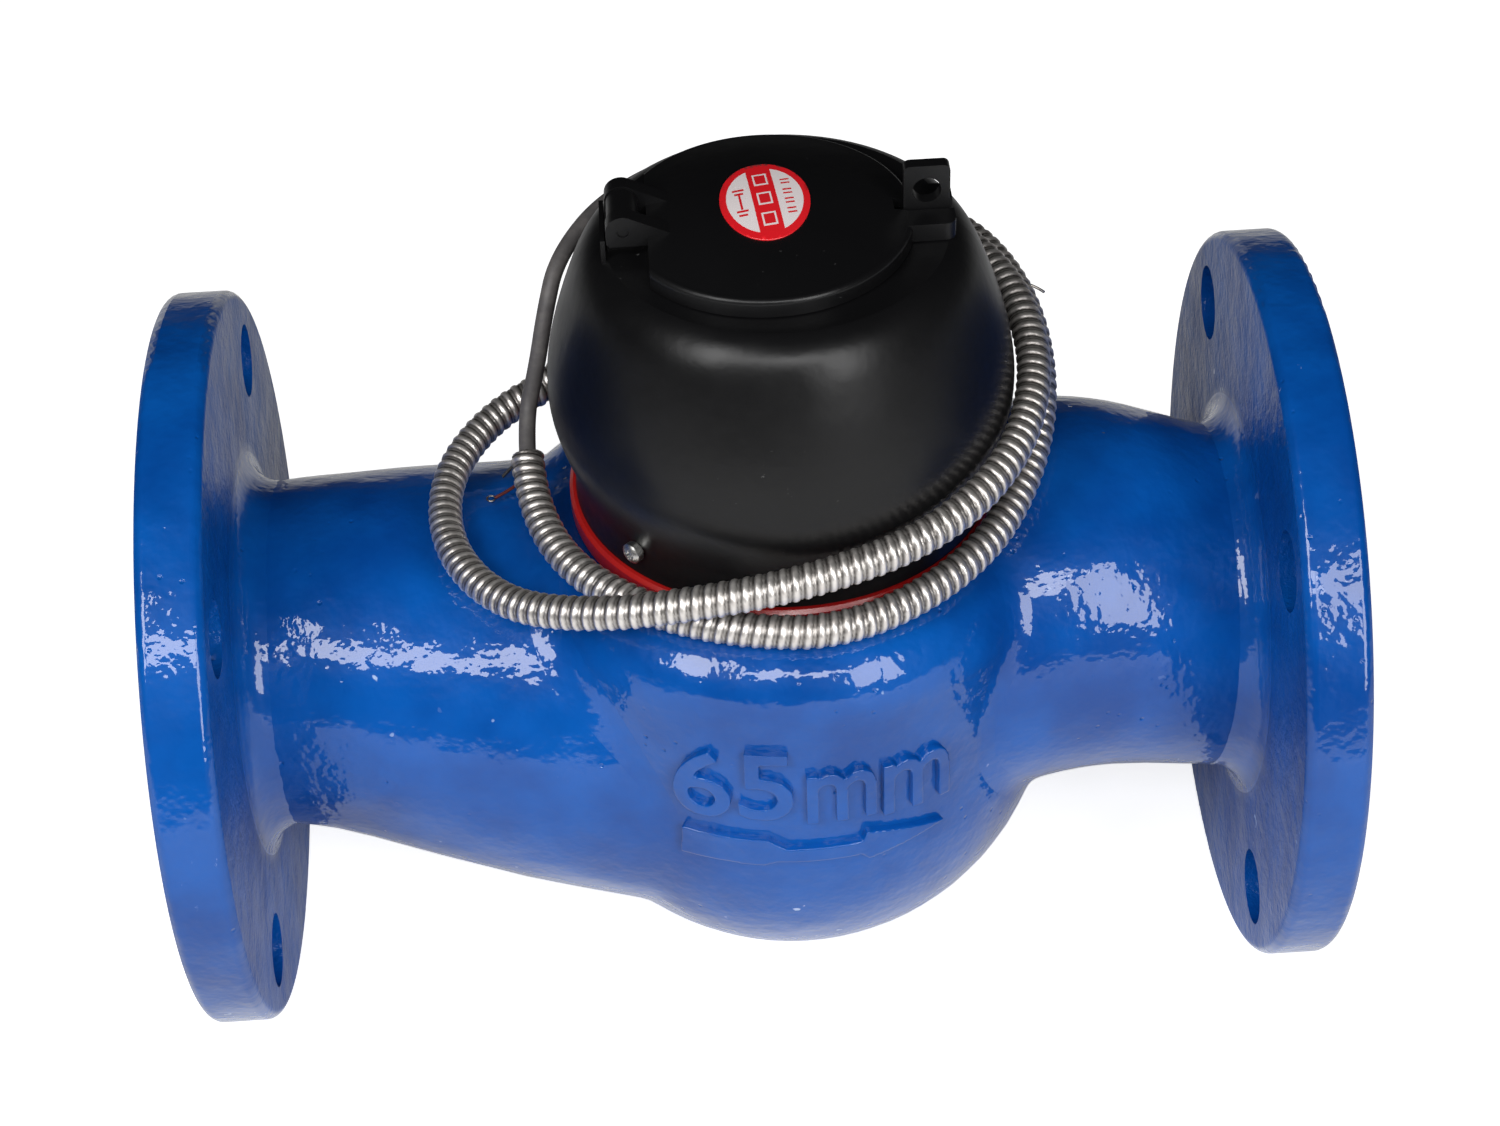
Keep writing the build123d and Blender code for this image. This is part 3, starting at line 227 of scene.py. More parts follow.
def cast_paint(name):
    """Glossy blue enamel over a casting: orange peel, sags, pits, scuffs at the rims and light chips."""
    s = Shader(name)
    deep = (0.001, 0.057, 0.29)
    bright = (0.002, 0.10, 0.44)
    pale = (0.42, 0.55, 0.82)
    tone = s.ramp(s.noise(28, 4, 0.55), 0.3, 0.7)
    colour = s.mix(tone, deep, bright)
    x = s.axis("X")
    y = s.axis("Y")
    z = s.axis("Z")

    # Distance from the pipe's axis tells rims, flange faces and pipe apart
    reach = s.math("SQRT", s.math("ADD", s.math("MULTIPLY", y, y), s.math("MULTIPLY", z, z)))
    rim = s.ramp(reach, 0.0845, 0.0885)
    scratch = s.ramp(s.noise(420, 5, 0.7, stretch=(1.0, 0.35, 0.35)), 0.66, 0.72)
    patches = s.ramp(s.noise(45, 3), 0.56, 0.66)
    scuff = s.math("MULTIPLY", s.math("MULTIPLY", scratch, patches), rim)
    flakes = s.ramp(s.noise(260, 2, 0.5), 0.70, 0.74)
    chips = s.math("MULTIPLY", flakes, s.ramp(s.noise(30, 2), 0.55, 0.7))
    colour = s.mix(s.math("MAXIMUM", scuff, chips), colour, pale)
    s.link(colour, s.shader.inputs["Base Color"])
    s.link(s.ramp(s.noise(70, 3), 0.3, 0.75, 0.28, 0.42), s.shader.inputs["Roughness"])
    s.set(Coat_Roughness=0.03, Specular_IOR_Level=0.1)
    layers = [
        (s.noise(24, 2), 0.0016),
        (s.noise(95, 3, 0.55), 0.00042),
        (s.noise(380, 2, 0.5), 0.00009),
    ]
    pits = s.ramp(s.cells(230), 0.04, 0.16)
    sparse = s.ramp(s.noise(50, 2), 0.5, 0.62)
    layers.append((s.math("MULTIPLY", s.math("SUBTRACT", 1.0, pits), sparse), -0.0002))

    # The flange faces are left as cast, so they are rough and their enamel is thin
    flank = s.ramp(reach, 0.046, 0.054)
    inner = s.math("MULTIPLY", flank, s.math("SUBTRACT", 1.0, s.ramp(reach, 0.0865, 0.0885)))
    end = s.math("ABSOLUTE", s.math("SUBTRACT", x, FACE_TO_FACE / 2))
    faces = s.math("MULTIPLY", inner, s.ramp(end, 0.10, 0.115))
    layers.append((s.math("MULTIPLY", s.noise(210, 4, 0.65), faces), 0.0009))
    s.link(s.ramp(faces, 0.0, 1.0, 1.0, 0.25), s.shader.inputs["Coat Weight"])
    normal = s.bump(*layers)
    s.link(normal, s.shader.inputs["Coat Normal"])
    return s.material


def satin_black(name, roughness, depth=0.00006):
    """Painted or moulded black cover: even satin with a little orange peel and a few dust specks."""
    s = Shader(name)
    specks = s.math("MULTIPLY", s.ramp(s.noise(900, 2), 0.74, 0.78), s.ramp(s.noise(25, 2), 0.5, 0.7))
    s.link(s.mix(specks, (0.005, 0.005, 0.0055), (0.10, 0.10, 0.10)), s.shader.inputs["Base Color"])
    sheen = s.ramp(s.noise(45, 3), 0.3, 0.7, roughness - 0.04, roughness + 0.05)
    s.link(sheen, s.shader.inputs["Roughness"])
    s.set(Specular_IOR_Level=0.32)
    s.bump((s.noise(55, 2), depth * 4), (s.noise(320, 2), depth))
    return s.material


def conduit_metal(name):
    """Bright stainless strip: warm crests, and painted shade in the grooves between the turns."""
    s = Shader(name)
    s.set(Metallic=0.85)
    groove_shade_node = s.node("ShaderNodeAttribute", attribute_name="groove_shade")
    # Painted shade: the grooves between the turns, and the bore, are mixed towards a near-black colour
    groove_shade_share = s.math("MULTIPLY", groove_shade_node.outputs["Fac"], s.ramp(s.noise(900, 3), 0.2, 0.6, 0.75, 1.0))
    crest = s.mix(s.ramp(s.noise(260, 3), 0.35, 0.7), (0.93, 0.89, 0.85), (0.82, 0.77, 0.73))
    s.link(s.mix(groove_shade_share, crest, (0.09, 0.08, 0.072)), s.shader.inputs["Base Color"])
    s.link(s.ramp(s.noise(700, 3), 0.3, 0.75, 0.34, 0.48), s.shader.inputs["Roughness"])
    s.bump((s.noise(1400, 3), 0.00002))
    return s.material


def clear_glass(name):
    s = Shader(name)
    s.set(Roughness=0.02, IOR=1.5, Transmission_Weight=1.0)
    s.set(Base_Color=(0.97, 0.99, 0.98, 1.0))
    s.bump((s.noise(40, 2), 0.00002))
    return s.material


# Materials of the CAD's slots

# How a metal's fine lines are stretched along X, Y and Z
ground = (30.0, 30.0, 0.6)
turned = (1.0, 1.0, 30.0)
plain = (1.0, 1.0, 1.0)
finish = {
    "cast_blue": cast_paint("cast_blue"),
    "seal_rubber": rubber("seal_rubber", (0.05, 0.05, 0.05), (0.018, 0.018, 0.018), 0.7),
    "wet_plastic": plastic("wet_plastic", (0.09, 0.09, 0.1), (0.06, 0.06, 0.068), 0.45),
    "strainer_steel": metal("strainer_steel", (0.68, 0.68, 0.67), (0.5, 0.5, 0.49), 0.3, turned),
    "shaft_steel": metal("shaft_steel", (0.74, 0.74, 0.74), (0.6, 0.6, 0.6), 0.2, turned),
    "impeller_plastic": plastic("impeller_plastic", (0.8, 0.79, 0.74), (0.7, 0.69, 0.64), 0.4),
    "magnet_grey": metal("magnet_grey", (0.2, 0.2, 0.21), (0.12, 0.12, 0.125), 0.42, plain),
    "plate_brass": metal("plate_brass", (0.78, 0.56, 0.26), (0.6, 0.42, 0.18), 0.28, turned),
    "can_steel": metal("can_steel", (0.7, 0.7, 0.68), (0.56, 0.56, 0.54), 0.26, turned),
    "ring_red": plastic("ring_red", (0.46, 0.012, 0.01), (0.34, 0.008, 0.008), 0.3, gloss=0.3),
    "train_white": plastic("train_white", (0.74, 0.74, 0.7), (0.66, 0.66, 0.62), 0.4),
    "gear_cream": plastic("gear_cream", (0.78, 0.74, 0.6), (0.68, 0.64, 0.5), 0.35),
    "drum_black": plastic("drum_black", (0.02, 0.02, 0.021), (0.012, 0.012, 0.013), 0.35),
    "dial_white": plastic("dial_white", (0.84, 0.84, 0.82), (0.78, 0.78, 0.76), 0.45, depth=0.000005),
    "pointer_red": plastic("pointer_red", (0.6, 0.02, 0.015), (0.48, 0.015, 0.012), 0.3, gloss=0.3),
    "screw_steel": metal("screw_steel", (0.86, 0.85, 0.82), (0.7, 0.69, 0.66), 0.3, ground),
    "lens_glass": clear_glass("lens_glass"),
    "bezel_steel": metal("bezel_steel", (0.72, 0.72, 0.7), (0.58, 0.58, 0.56), 0.22, turned),
    "cover_black": satin_black("cover_black", 0.34),
    "lid_black": satin_black("lid_black", 0.34, 0.00005),
    "sticker_paper": plastic("sticker_paper", (0.88, 0.014, 0.022), (0.82, 0.012, 0.02), 0.4,
                             depth=0.000008, gloss=0.2),
    "sensor_grey": plastic("sensor_grey", (0.16, 0.16, 0.17), (0.12, 0.12, 0.13), 0.5),
    "board_green": plastic("board_green", (0.02, 0.16, 0.06), (0.015, 0.12, 0.045), 0.35),
    "ferrule_steel": metal("ferrule_steel", (0.76, 0.75, 0.73), (0.6, 0.6, 0.58), 0.24, (30.0, 1.0, 1.0)),
    "conduit_steel": conduit_metal("conduit_steel"),
    "cable_grey": rubber("cable_grey", (0.175, 0.162, 0.157), (0.10, 0.094, 0.094), 0.52),
    "wire_blue": rubber("wire_blue", (0.02, 0.09, 0.42), (0.015, 0.06, 0.3), 0.35),
    "wire_black": rubber("wire_black", (0.03, 0.03, 0.032), (0.012, 0.012, 0.013), 0.45),
    "wire_brown": rubber("wire_brown", (0.22, 0.045, 0.03), (0.12, 0.02, 0.015), 0.45),
}
print_black = plastic("print_black", (0.018, 0.018, 0.02), (0.012, 0.012, 0.013), 0.5, depth=0.000004)
print_white = plastic("print_white", (0.86, 0.86, 0.85), (0.8, 0.8, 0.79), 0.42, depth=0.000004)
label_pale = plastic("label_pale", (0.92, 0.85, 0.85), (0.88, 0.80, 0.80), 0.42, depth=0.000004)
print_red = plastic("print_red", (0.80, 0.014, 0.022), (0.74, 0.012, 0.02), 0.42, depth=0.000004)
tinned = metal("tinned_core", (0.5, 0.46, 0.42), (0.3, 0.27, 0.24), 0.3, plain)

for part in frame["record"]["subparts"]:
    target = nodes.get(part["node"])
    if target is None:
        continue
    target.data.materials.clear()
    target.data.materials.append(finish[part["material_slot"]])

# The hinge pin shows as black as the lid
nodes["hinge_pin"].data.materials[0] = finish["lid_black"]


# Mesh helpers

def place_mesh(name, mesh, material, smooth=True):
    """Shades a mesh, gives it its material and puts it in the scene."""
    if smooth:
        mesh.shade_smooth()
    else:
        mesh.shade_flat()
    mesh.materials.append(material)
    made = bpy.data.objects.new(name, mesh)
    scene.collection.objects.link(made)
    return made


def add_mesh(name, verts, faces, material):
    mesh = bpy.data.meshes.new(name)
    mesh.from_pydata(verts, [], faces)
    mesh.validate()
    return place_mesh(name, mesh, material)


def finish_bmesh(name, bm, material, smooth=True):
    mesh = bpy.data.meshes.new(name)
    bm.to_mesh(mesh)
    bm.free()
    return place_mesh(name, mesh, material, smooth)


def text_mesh(body, bold):
    """The built-in font's glyphs as a mesh, centred on the origin in X and Y."""
    data = bpy.data.curves.new("glyphs", "FONT")
    data.body = body
    data.offset = bold
    data.resolution_u = 6
    data.align_x = "CENTER"
    holder = bpy.data.objects.new("glyphs", data)
    scene.collection.objects.link(holder)
    bpy.context.view_layer.update()
    mesh = bpy.data.meshes.new_from_object(holder.evaluated_get(bpy.context.evaluated_depsgraph_get()))
    bpy.data.objects.remove(holder)
    bpy.data.curves.remove(data)
    bm = bmesh.new()
    bm.from_mesh(mesh)
    bpy.data.meshes.remove(mesh)
    low = [min(v.co[k] for v in bm.verts) for k in (0, 1)]
    high = [max(v.co[k] for v in bm.verts) for k in (0, 1)]
    for v in bm.verts:
        v.co.x -= (low[0] + high[0]) / 2
        v.co.y -= (low[1] + high[1]) / 2
    return bm, (high[0] - low[0], high[1] - low[1])


def slice_mesh(bm, axis, step):
    """Cuts a flat mesh into strips along one axis, so that it can be wrapped round a curve."""
    low = min(v.co[axis] for v in bm.verts)
    high = max(v.co[axis] for v in bm.verts)
    normal = Vector((axis == 0, axis == 1, 0))
    count = max(1, int((high - low) / step))
    for k in range(1, count):
        at = normal * (low + (high - low) * k / count)
        whole = bm.verts[:] + bm.edges[:] + bm.faces[:]
        bmesh.ops.bisect_plane(bm, geom=whole, plane_co=at, plane_no=normal)


def surface_of(node):
    """A node's faces, for rays to find where its surface lies."""
    mesh = nodes[node].data
    corners = [v.co for v in mesh.vertices]
    return BVHTree.FromPolygons(corners, [tuple(p.vertices) for p in mesh.polygons])


def revolved(name, profile, centre, axis, material, segments):
    """A band of (distance along the axis, radius) points turned about an axis through centre."""
    along = Vector(axis).normalized()
    first = along.orthogonal().normalized()
    second = along.cross(first)
    verts = []
    for k in range(segments):
        turn = 2 * math.pi * k / segments
        spoke = math.cos(turn) * first + math.sin(turn) * second
        verts += [Vector(centre) + along * s + spoke * r for s, r in profile]
    n = len(profile)
    faces = []
    for k in range(segments):
        a, b = k * n, (k + 1) % segments * n
        faces += [(a + i, b + i, b + i + 1, a + i + 1) for i in range(n - 1)]
    return add_mesh(name, verts, faces, material)


# Cords

def route(name, points, radius, material, resolution=24):
    """A round cord on one smooth curve with given control points, in metres from the register's axis."""
    data = bpy.data.curves.new(name, "CURVE")
    data.dimensions = "3D"
    spline = data.splines.new("NURBS")
    spline.points.add(len(points) - 1)
    for target, (x, y, z) in zip(spline.points, points):
        target.co = (REGISTER_X + x, y, z, 1.0)
    spline.order_u = 3
    spline.use_endpoint_u = True
    data.resolution_u = resolution
    data.bevel_depth = radius
    data.bevel_resolution = 6
    data.use_fill_caps = radius > 0
    if material is not None:
        data.materials.append(material)
    made = bpy.data.objects.new(name, data)
    scene.collection.objects.link(made)
    return made


def curve_points(holder):
    """The points of a curve without thickness, as Blender draws it."""
    bpy.context.view_layer.update()
    mesh = bpy.data.meshes.new_from_object(holder.evaluated_get(bpy.context.evaluated_depsgraph_get()))
    line = [v.co.copy() for v in mesh.vertices]
    bpy.data.meshes.remove(mesh)
    return line


def even_steps(line, step):
    """Points every step along a polyline, from its first point."""
    out = [line[0].copy()]
    carry = 0.0
    for a, b in zip(line, line[1:]):
        run = (b - a).length
        at = step - carry
        while at <= run:
            out.append(a.lerp(b, at / run))
            at += step
        carry = (carry + run) % step
    return out


CONDUIT = [
    (-0.016, 0.0575, 0.088), (0.011, 0.0575, 0.088), (0.038, 0.0465, 0.0865), (0.0555, 0.022, 0.084),
    (0.0592, -0.006, 0.0785), (0.0505, -0.0315, 0.072), (0.0306, -0.0496, 0.0665), (0.004, -0.0572, 0.0625),
    (-0.022, -0.058, 0.0585), (-0.046, -0.053, 0.0525), (-0.066, -0.041, 0.0465), (-0.079, -0.021, 0.046),
    (-0.0805, 0.004, 0.0475), (-0.069, 0.024, 0.0505), (-0.05, 0.033, 0.055), (-0.038, 0.05, 0.063),
    (-0.012, 0.066, 0.072), (0.02, 0.068, 0.078), (0.047, 0.051, 0.0805), (0.06, 0.026, 0.0755),
    (0.0615, -0.002, 0.064), (0.051, -0.027, 0.052), (0.033, -0.0455, 0.048), (0.009, -0.057, 0.0463),
    (-0.015, -0.054, 0.0463), (-0.036, -0.044, 0.0463), (-0.052, -0.028, 0.0465), (-0.0595, -0.008, 0.0495),
    (-0.06, 0.003, 0.054),
]
CABLE = [
    (-0.05978, -0.0019, 0.052), (-0.06039, 0.01151, 0.05748), (-0.0565, 0.0165, 0.07),
    (-0.0537, 0.021, 0.082),
    (-0.05, 0.0295, 0.092), (-0.038, 0.045, 0.0975), (-0.015, 0.0575, 0.1002), (0.01, 0.06, 0.0975),
    (0.03, 0.0545, 0.0955),
]
BLUE = [
    (0.03, 0.0545, 0.0955), (0.03432, 0.05331, 0.09507), (0.04, 0.051, 0.0885), (0.0412, 0.047, 0.082),
    (0.044, 0.041, 0.075), (0.052, 0.0378, 0.0725), (0.0603, 0.0364, 0.0715),
]
BLUE_TIP = [(0.0603, 0.0364, 0.0715), (0.0632, 0.036, 0.071), (0.0659, 0.036, 0.0686)]
BLACK = [
    (-0.0594, 0.00419, 0.05115), (-0.05963, 0.00937, 0.05327), (-0.05857, 0.0115, 0.0482),
    (-0.0634, 0.0113, 0.046), (-0.0668, 0.0102, 0.0426),
]
BROWN = [
    (-0.0606, 0.00415, 0.05113), (-0.06084, 0.00933, 0.05325), (-0.0619, 0.01137, 0.04814),
    (-0.061, 0.0075, 0.0448), (-0.0642, 0.0044, 0.0435), (-0.0686, 0.0022, 0.0428),
]
CABLE_RADIUS = 0.002
BLUE_RADIUS = 0.00065
BLUE_CORE_RADIUS = 0.00035
LOOSE_RADIUS = 0.0004

# One turn of the conduit's strip: radii in millimetres, and how much painted shade lies there
PITCH = 0.00275
TURN_STEPS = 12
AROUND = 18
TURN_PROFILE = [3.55, 3.50, 3.70, 3.72, 3.55, 3.74, 3.90, 3.97, 4.0, 4.0, 3.94, 3.78]
TURN_GROOVE_SHADE = [1.0, 1.0, 0.5, 0.4, 1.0, 0.5, 0.08, 0.0, 0.0, 0.0, 0.08, 0.55]


def along_turn(values, phase):
    """The value at a place along one turn, between the two listed ones."""
    low = int(phase) % TURN_STEPS
    share = phase - int(phase)
    return values[low] + share * (values[(low + 1) % TURN_STEPS] - values[low])


def corrugated_tube(name, line, material, bore=0.0023, mouth_steps=40, mouth_shade=0.6):
    """A strip-wound tube: each turn has a round crest, a groove and the thin lip of the next strip."""
    spots = even_steps(line, PITCH / TURN_STEPS)
    verts, groove_shade, faces = [], [], []
    along = (spots[1] - spots[0]).normalized()
    side = along.orthogonal().normalized()
    count = len(spots)
    for n, spot in enumerate(spots):
        ahead = (spots[min(n + 1, count - 1)] - spots[max(n - 1, 0)]).normalized()
        side = (side - side.dot(ahead) * ahead).normalized()
        other = ahead.cross(side)
        for k in range(AROUND):
            turn = 2 * math.pi * k / AROUND
            phase = (n / TURN_STEPS + k / AROUND) % 1.0 * TURN_STEPS
            radius = along_turn(TURN_PROFILE, phase)
            # How much painted shade falls on this point's groove
            groove_shade.append(along_turn(TURN_GROOVE_SHADE, phase))
            verts.append(spot + (math.cos(turn) * side + math.sin(turn) * other) * radius / 1000)

    # The open end turns inwards and shows a short stretch of the bore, which gets painted shade
    for n in (count - 1, count - 1 - mouth_steps):
        ring = verts[n * AROUND:(n + 1) * AROUND]
        spot = spots[n]
        verts += [spot + (v - spot).normalized() * bore for v in ring]
        groove_shade += [mouth_shade] * AROUND
    order = list(range(count)) + [count, count + 1]
    for a, b in zip(order, order[1:]):
        for k in range(AROUND):
            j = (k + 1) % AROUND
            faces.append((a * AROUND + k, a * AROUND + j, b * AROUND + j, b * AROUND + k))
    made = add_mesh(name, verts, faces, material)
    # The painted groove shade goes to the material as a point attribute
    layer = made.data.attributes.new("groove_shade", "FLOAT", "POINT")
    layer.data.foreach_set("value", groove_shade)
    return made


def ring_terminal(name, middle, material, radius=0.0010, thick=0.00022, steps=16, sides=8):
    """A small flat-lying ring of round wire."""
    bm = bmesh.new()
    for k in range(steps):
        for m in range(sides):
            turn, roll = 2 * math.pi * k / steps, 2 * math.pi * m / sides
            reach = radius + thick * math.cos(roll)
            spot = Vector((reach * math.cos(turn), reach * math.sin(turn), thick * math.sin(roll)))
            bm.verts.new(middle + spot)
    bm.verts.ensure_lookup_table()
    for k in range(steps):
        for m in range(sides):
            here, after = k * sides, (k + 1) % steps * sides
            beside = (m + 1) % sides
            bm.faces.new([bm.verts[i] for i in (here + m, here + beside, after + beside, after + m)])
    bmesh.ops.recalc_face_normals(bm, faces=bm.faces[:])
    return finish_bmesh(name, bm, material)


centre_line = route("conduit_centre", CONDUIT, 0.0, None)
conduit_path = curve_points(centre_line)
bpy.data.objects.remove(centre_line)
conduit = corrugated_tube("steel_conduit", conduit_path, finish["conduit_steel"])
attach(conduit, "housing")
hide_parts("conduit")

cable = route("grey_cable", CABLE, CABLE_RADIUS, finish["cable_grey"])
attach(cable, "housing")
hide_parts("signal_cable")

blue = route("blue_strand", BLUE, BLUE_RADIUS, finish["wire_blue"])
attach(blue, "housing")
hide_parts("blue_wire")
blue_tip = route("blue_strand_tip", BLUE_TIP, BLUE_CORE_RADIUS, tinned, 16)
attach(blue_tip, "housing")

black = route("black_strand", BLACK, LOOSE_RADIUS, finish["wire_black"])
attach(black, "housing")
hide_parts("black_wire")

brown = route("brown_strand", BROWN, LOOSE_RADIUS, finish["wire_brown"])
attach(brown, "housing")
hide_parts("brown_wire")
brown_end = Vector((REGISTER_X + BROWN[-1][0] - 0.0009, BROWN[-1][1] - 0.0002, BROWN[-1][2]))
brown_ring = ring_terminal("brown_strand_ring", brown_end, tinned)
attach(brown_ring, "housing")


# Casting: roots of the flanges and raised marks

def flange_root(name, back, direction, reach=0.008, sink=0.0006, steps=12):
    """A concave fillet between the back of a flange and its pipe, with both edges sunk into the metal."""
    profile = [(-sink, PIPE_RADIUS + reach + sink), (0.0, PIPE_RADIUS + reach)]
    for k in range(1, steps):
        turn = math.pi / 2 * k / steps
        height = reach * (1 - math.sin(turn)) + sink * k / steps
        profile.append((reach * (1 - math.cos(turn)), PIPE_RADIUS + height))
    profile += [(reach, PIPE_RADIUS + 0.0004), (reach + 0.002, PIPE_RADIUS - 0.0012)]
    ring = revolved(name, profile, (back, 0, 0), (direction, 0, 0), finish["cast_blue"], 120)
    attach(ring, "housing")


flange_root("inlet_flange_root", FLANGE_BACK, 1)
flange_root("outlet_flange_root", FACE_TO_FACE - FLANGE_BACK, -1)

body_surface = surface_of("meter_body")


def wrap_on_bulb(made):
    """Moves a flat piece, with X in degrees round the bulb and Y up in metres, onto the bulb's front."""
    for v in made.data.vertices:
        angle = math.radians(v.co.x)
        outward = Vector((math.sin(angle), -math.cos(angle), 0))
        axis_point = Vector((REGISTER_X, 0, v.co.y))
        hit = body_surface.ray_cast(axis_point + outward * 0.12, -outward)[0]
        base = (hit - axis_point).length if hit is not None else BULB_RADIUS
        v.co = axis_point + outward * (base + v.co.z)
    made.data.update()


def cast_relief(name, bm, voxel=0.00042):
    """Raises a flat shape, rounds its edges as a casting does and puts its back below zero."""
    solid = bmesh.ops.extrude_face_region(bm, geom=bm.faces[:])
    for v in [g for g in solid["geom"] if isinstance(g, bmesh.types.BMVert)]:
        v.co.z += RELIEF + RELIEF_SINK
    bmesh.ops.recalc_face_normals(bm, faces=bm.faces[:])
    made = finish_bmesh(name, bm, finish["cast_blue"])
    remesh = made.modifiers.new("remesh", "REMESH")
    remesh.mode = "VOXEL"
    remesh.voxel_size = voxel
    smooth = made.modifiers.new("smooth", "SMOOTH")
    smooth.factor = 0.5
    smooth.iterations = 2
    bpy.context.view_layer.update()
    mesh = bpy.data.meshes.new_from_object(made.evaluated_get(bpy.context.evaluated_depsgraph_get()))
    made.modifiers.clear()
    made.data = mesh
    made.data.shade_smooth()
    for v in made.data.vertices:
        v.co.z -= RELIEF_SINK
    return made


# One degree round the bulb in metres, how far the marks stand out and how far their backs go in
BULB_ARC = math.radians(1) * BULB_RADIUS
RELIEF = 0.0018
RELIEF_SINK = 0.0012


def raised_glyph(name, glyph, left, right, bottom, top):
    """One raised character in a box given in degrees round the bulb and metres of height."""
    bm, (wide, tall) = text_mesh(glyph, 0.012)
    width = (right - left) * BULB_ARC
    for v in bm.verts:
        v.co.x = v.co.x / wide * width
        v.co.y = v.co.y / tall * (top - bottom)
    made = cast_relief(name, bm)
    for v in made.data.vertices:
        v.co.x = (left + right) / 2 + v.co.x / BULB_ARC
        v.co.y += (bottom + top) / 2
    wrap_on_bulb(made)
    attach(made, "housing")


raised_glyph("raised_digit_six", "6", -27.7, -15.4, -0.0038, 0.0172)
raised_glyph("raised_digit_five", "5", -13.9, -2.7, -0.0030, 0.0180)
raised_glyph("raised_letter_m_1", "m", -0.2, 14.2, -0.0042, 0.0112)
raised_glyph("raised_letter_m_2", "m", 15.6, 30.6, -0.0054, 0.0106)

# Outline in degrees round the bulb and metres of height
ARROW = [
    (-26.3, -0.0089), (-14.2, -0.0095), (-8.3, -0.0095), (-4.4, -0.0124), (11.3, -0.0122), (12.0, -0.0094),
    (29.6, -0.0139), (12.5, -0.0184), (10.9, -0.0165), (-6.6, -0.0166), (-8.9, -0.0177), (-26.6, -0.0175),
]
arrow_outline = bmesh.new()
arrow_outline.faces.new([arrow_outline.verts.new((a * BULB_ARC, z, 0)) for a, z in ARROW])
arrow = cast_relief("raised_flow_arrow", arrow_outline)
for v in arrow.data.vertices:
    v.co.x = v.co.x / BULB_ARC
wrap_on_bulb(arrow)
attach(arrow, "housing")


# Crowned heads with a cross recess on the cover screws

SCREW_ANGLES = [224.0, 344.0, 464.0]
HEAD_RADIUS = 0.0025
CROWN_HEIGHT = 0.0009
ARM_HALF_WIDTH = 0.00028
ARM_LENGTH = 0.00125
RECESS_DEPTH = 0.00075
RECESS_SLOPE = 0.00012
CROWN_RINGS = 16
CROWN_STEPS = 48
screw_verts = [v.co for v in nodes["cover_screws"].data.vertices]
for k, degrees in enumerate(SCREW_ANGLES, start=1):
    spoke = Vector((math.cos(math.radians(degrees)), math.sin(math.radians(degrees)), 0))
    across = Vector((-spoke.y, spoke.x, 0))
    near = [v for v in screw_verts if (v - Vector((REGISTER_X, 0, v.z))).normalized().dot(spoke) > 0.9]
    seat = max((v - Vector((REGISTER_X, 0, 0))).dot(spoke) for v in near)
    heights = [v.z for v in near]
    centre = Vector((REGISTER_X, 0, (min(heights) + max(heights)) / 2)) + spoke * seat
    verts = [centre + spoke * (CROWN_HEIGHT - RECESS_DEPTH)]
    for ring in range(1, CROWN_RINGS + 1):
        share = ring / CROWN_RINGS
        for n in range(CROWN_STEPS):
            turn = 2 * math.pi * n / CROWN_STEPS + 0.4
            u = HEAD_RADIUS * share * math.cos(turn)
            v = HEAD_RADIUS * share * math.sin(turn)
            rise = CROWN_HEIGHT * (1 - share ** 2.6)
            level_arm = max(abs(v) - ARM_HALF_WIDTH, abs(u) - ARM_LENGTH)
            upright_arm = max(abs(u) - ARM_HALF_WIDTH, abs(v) - ARM_LENGTH)
            outside = min(level_arm, upright_arm)
            if outside < 0:
                rise -= RECESS_DEPTH * min(1.0, -outside / RECESS_SLOPE)
            verts.append(centre + spoke * rise + across * u + Vector((0, 0, v)))
    faces = [(0, 1 + n, 1 + (n + 1) % CROWN_STEPS) for n in range(CROWN_STEPS)]
    for ring in range(CROWN_RINGS - 1):
        a, b = 1 + ring * CROWN_STEPS, 1 + (ring + 1) * CROWN_STEPS
        for n in range(CROWN_STEPS):
            after = (n + 1) % CROWN_STEPS
            faces.append((a + n, b + n, b + after, a + after))
    head = add_mesh(f"screw_crown_{k}", verts, faces, finish["screw_steel"])
    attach(head, "housing")


# Oval sticker on the lid

sticker_low, sticker_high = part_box("inspection_sticker")
sticker_centre = (sticker_low + sticker_high) / 2
STICKER_RADIUS = 1000 * (sticker_high.x - sticker_low.x) / 2
STICKER_STRETCH = 1.47
STICKER_LIFT = 0.0003
FIRST_PRINT = 0.00003
SECOND_PRINT = 0.00005
LEAN = math.radians(7)
lid_surface = surface_of("lid")


def on_sticker(name, outlines, material, lift):
    """Flat outlines, in millimetres from the sticker's middle, leaned, stretched and draped on the lid."""
    bm = bmesh.new()
    for outline in outlines:
        bm.faces.new([bm.verts.new((x / 1000, y / 1000, 0)) for x, y in outline])
    bmesh.ops.triangulate(bm, faces=bm.faces[:])
    slice_mesh(bm, 0, 0.001)
    slice_mesh(bm, 1, 0.001)
    for v in bm.verts:
        x = sticker_centre.x + v.co.x * math.cos(LEAN) - v.co.y * math.sin(LEAN)
        y = sticker_centre.y + (v.co.x * math.sin(LEAN) + v.co.y * math.cos(LEAN)) * STICKER_STRETCH
        hit = lid_surface.ray_cast(Vector((x, y, 0.2)), Vector((0, 0, -1)))[0]
        v.co = (x, y, hit.z + STICKER_LIFT + lift)
    bmesh.ops.recalc_face_normals(bm, faces=bm.faces[:])
    made = finish_bmesh(name, bm, material)
    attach(made, "lid")
    return made


def segment(side, radius=8.5, chord=2.75, steps=28):
    """The part of a disc beyond a chord."""
    half = math.acos(chord / radius)
    turns = [-half + 2 * half * k / steps for k in range(steps + 1)]
    return [(side * radius * math.cos(turn), radius * math.sin(turn)) for turn in turns]


